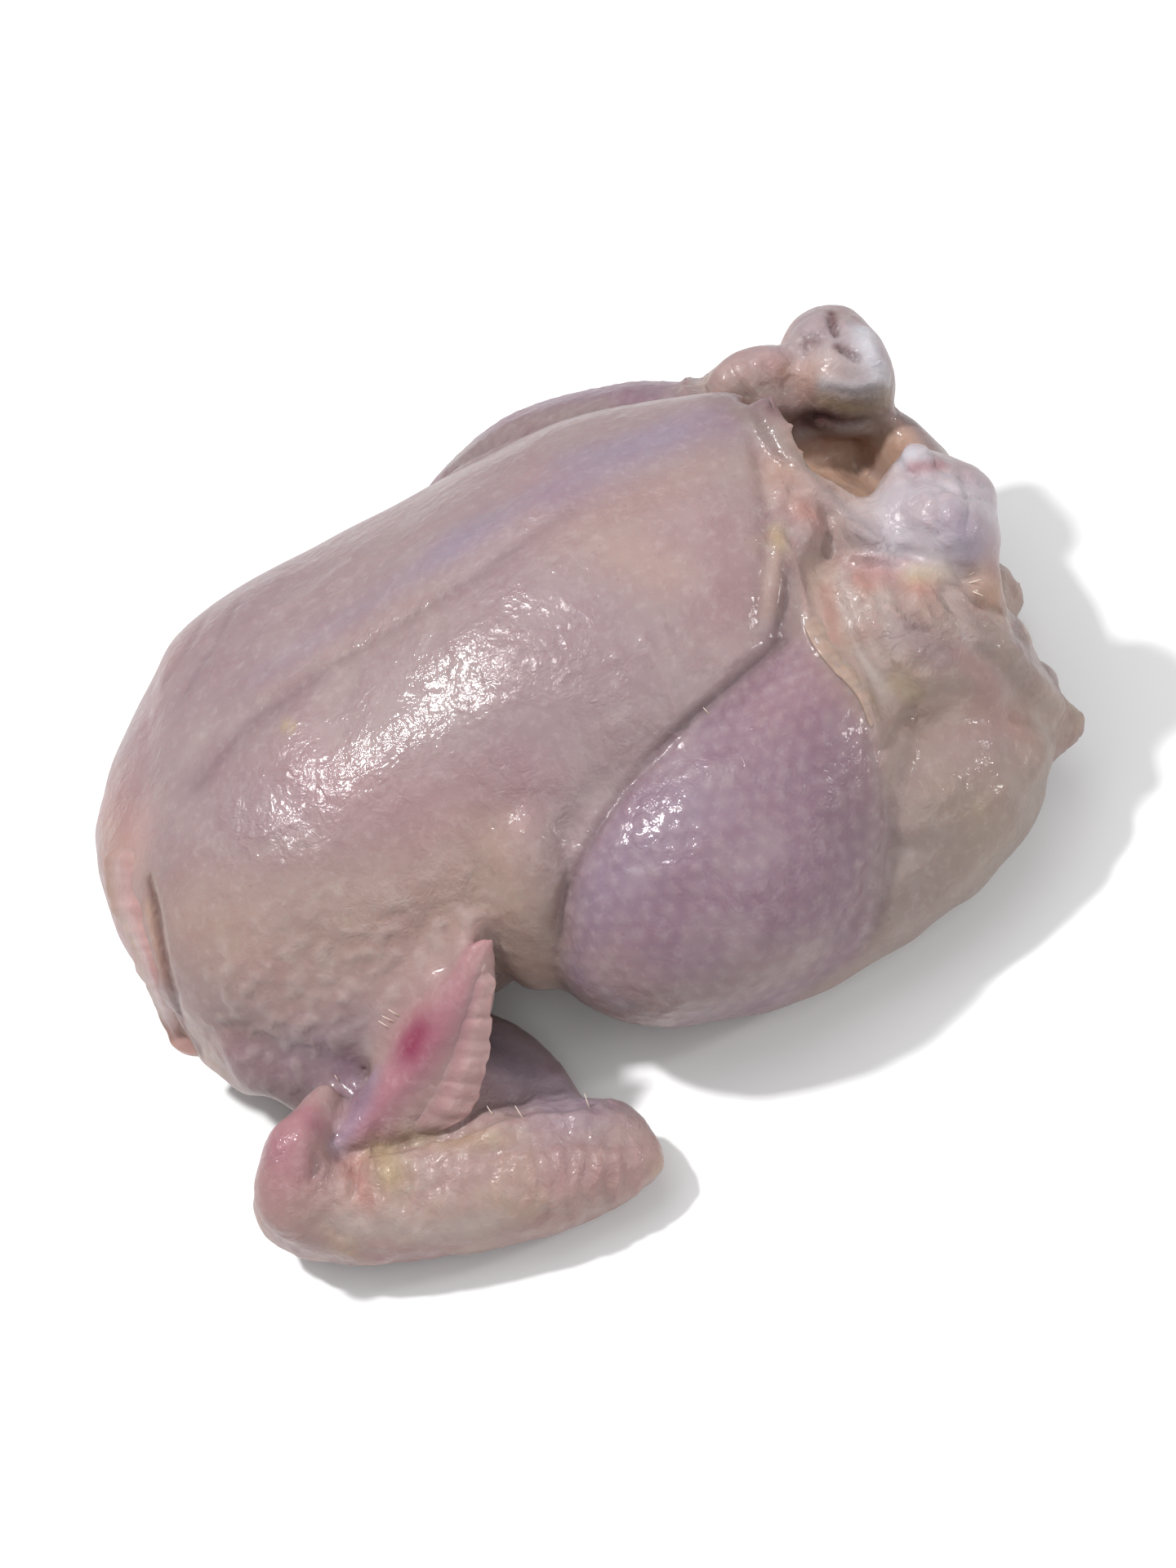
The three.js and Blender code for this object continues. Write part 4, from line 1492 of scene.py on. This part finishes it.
# %% Fibres
FIBRES = [  # root and tip in pixels, how far the tip stands off in millimetres
    ((722, 1356), (714, 1346), 1.5), ((640, 1368), (632, 1360), 1.2), ((604, 1366), (598, 1358), 1.0),
    ((566, 1374), (576, 1384), 1.0), ((530, 1410), (536, 1418), 1.0), ((552, 1418), (560, 1430), 0.8),
    ((1186, 714), (1199, 710), 0.8), ((1190, 723), (1202, 731), 0.7), ((1184, 706), (1192, 700), 0.6),
    ((1120, 730), (1128, 742), 0.6), ((490, 1245), (478, 1236), 0.8), ((484, 1252), (470, 1244), 0.8),
    ((478, 1260), (466, 1250), 0.8), ((868, 874), (862, 868), 0.8), ((1040, 668), (1060, 674), 1.2),
    ((1030, 660), (1052, 664), 1.2), ((416, 1326), (410, 1316), 1.0), ((948, 700), (952, 716), 0.6),
]
FIBRE_RADIUS = 0.22 * MM
ROOT_DEPTH = 0.3 * MM
tree = skin.tree()
fibres = []
for (px, py), (qx, qy), off in FIBRES:
    base, normal = look(tree, px, py)
    tip = beside(qx, qy, base) + normal * off * MM
    base = base - normal * ROOT_DEPTH
    way = tip - base
    bpy.ops.mesh.primitive_cone_add(vertices=7, radius1=FIBRE_RADIUS, radius2=FIBRE_RADIUS * 0.3,
                                    depth=way.length, location=(base + tip) / 2,
                                    rotation=way.to_track_quat("Z", "Y").to_euler())
    fibres.append(bpy.context.object)
join(fibres, fibres[0])
bpy.ops.object.transform_apply(location=True, rotation=True, scale=True)
strands = bpy.context.object
strands.name = "fibres"
bpy.ops.object.shade_smooth()
strands.data.materials.append(wet_skin("fibre", colour=(206, 190, 176), crinkle=0.2, depth=0.001))
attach(strands, "root")
print("fibres:", len(fibres))

# %% [markdown]
# ## Floor and light
#
# The bird lies on a plain white table. One small soft box hangs almost straight over it and a little towards
# the neck: its reflections are the crisp wet highlights on the breast, the drumstick and the hocks. A large
# box high up and another in front fill the shadows, with a pale sky. A small low one at the side gives the
# thigh its sparkle.

# %% Floor, lights and sky
bpy.ops.object.select_all(action="DESELECT")
TABLE_DROP = 0.2 * MM  # keeps the table clear of the bird's flat back
bpy.ops.mesh.primitive_plane_add(size=6, location=(0, 0, -TABLE_DROP))
floor = bpy.context.object
floor.name = "table"
table_look, _, table_shader = shader("table")
table_shader.inputs["Base Color"].default_value = (0.80, 0.80, 0.80, 1)
table_shader.inputs["Roughness"].default_value = 0.7
floor.data.materials.append(table_look)


LIT = Vector((0, 0, 0.04))  # the point that every light looks at


def soft_box(name, place, size, power):
    """A square light."""
    bpy.ops.object.light_add(type="AREA", location=place)
    box = bpy.context.object
    box.name = name
    box.data.size = size
    box.data.energy = power
    box.rotation_euler = (LIT - Vector(place)).to_track_quat("-Z", "Y").to_euler()


soft_box("overhead box", (-0.32, 0.09, 1.0), 0.09, 10)
soft_box("high box", (0.0, 0.2, 1.9), 1.6, 12)
soft_box("front box", (0.5, -1.3, 1.1), 1.4, 13)
soft_box("side box", (1.05, -0.42, 0.50), 0.11, 3.2)
sky = bpy.data.worlds.new("sky")
bpy.context.scene.world = sky
sky.use_nodes = True
sky.node_tree.nodes["Background"].inputs["Color"].default_value = (0.93, 0.96, 1.0, 1)
sky.node_tree.nodes["Background"].inputs["Strength"].default_value = 0.34
bpy.context.scene.view_settings.view_transform = "Standard"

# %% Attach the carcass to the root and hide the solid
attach(carcass, "root")
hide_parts("chicken")
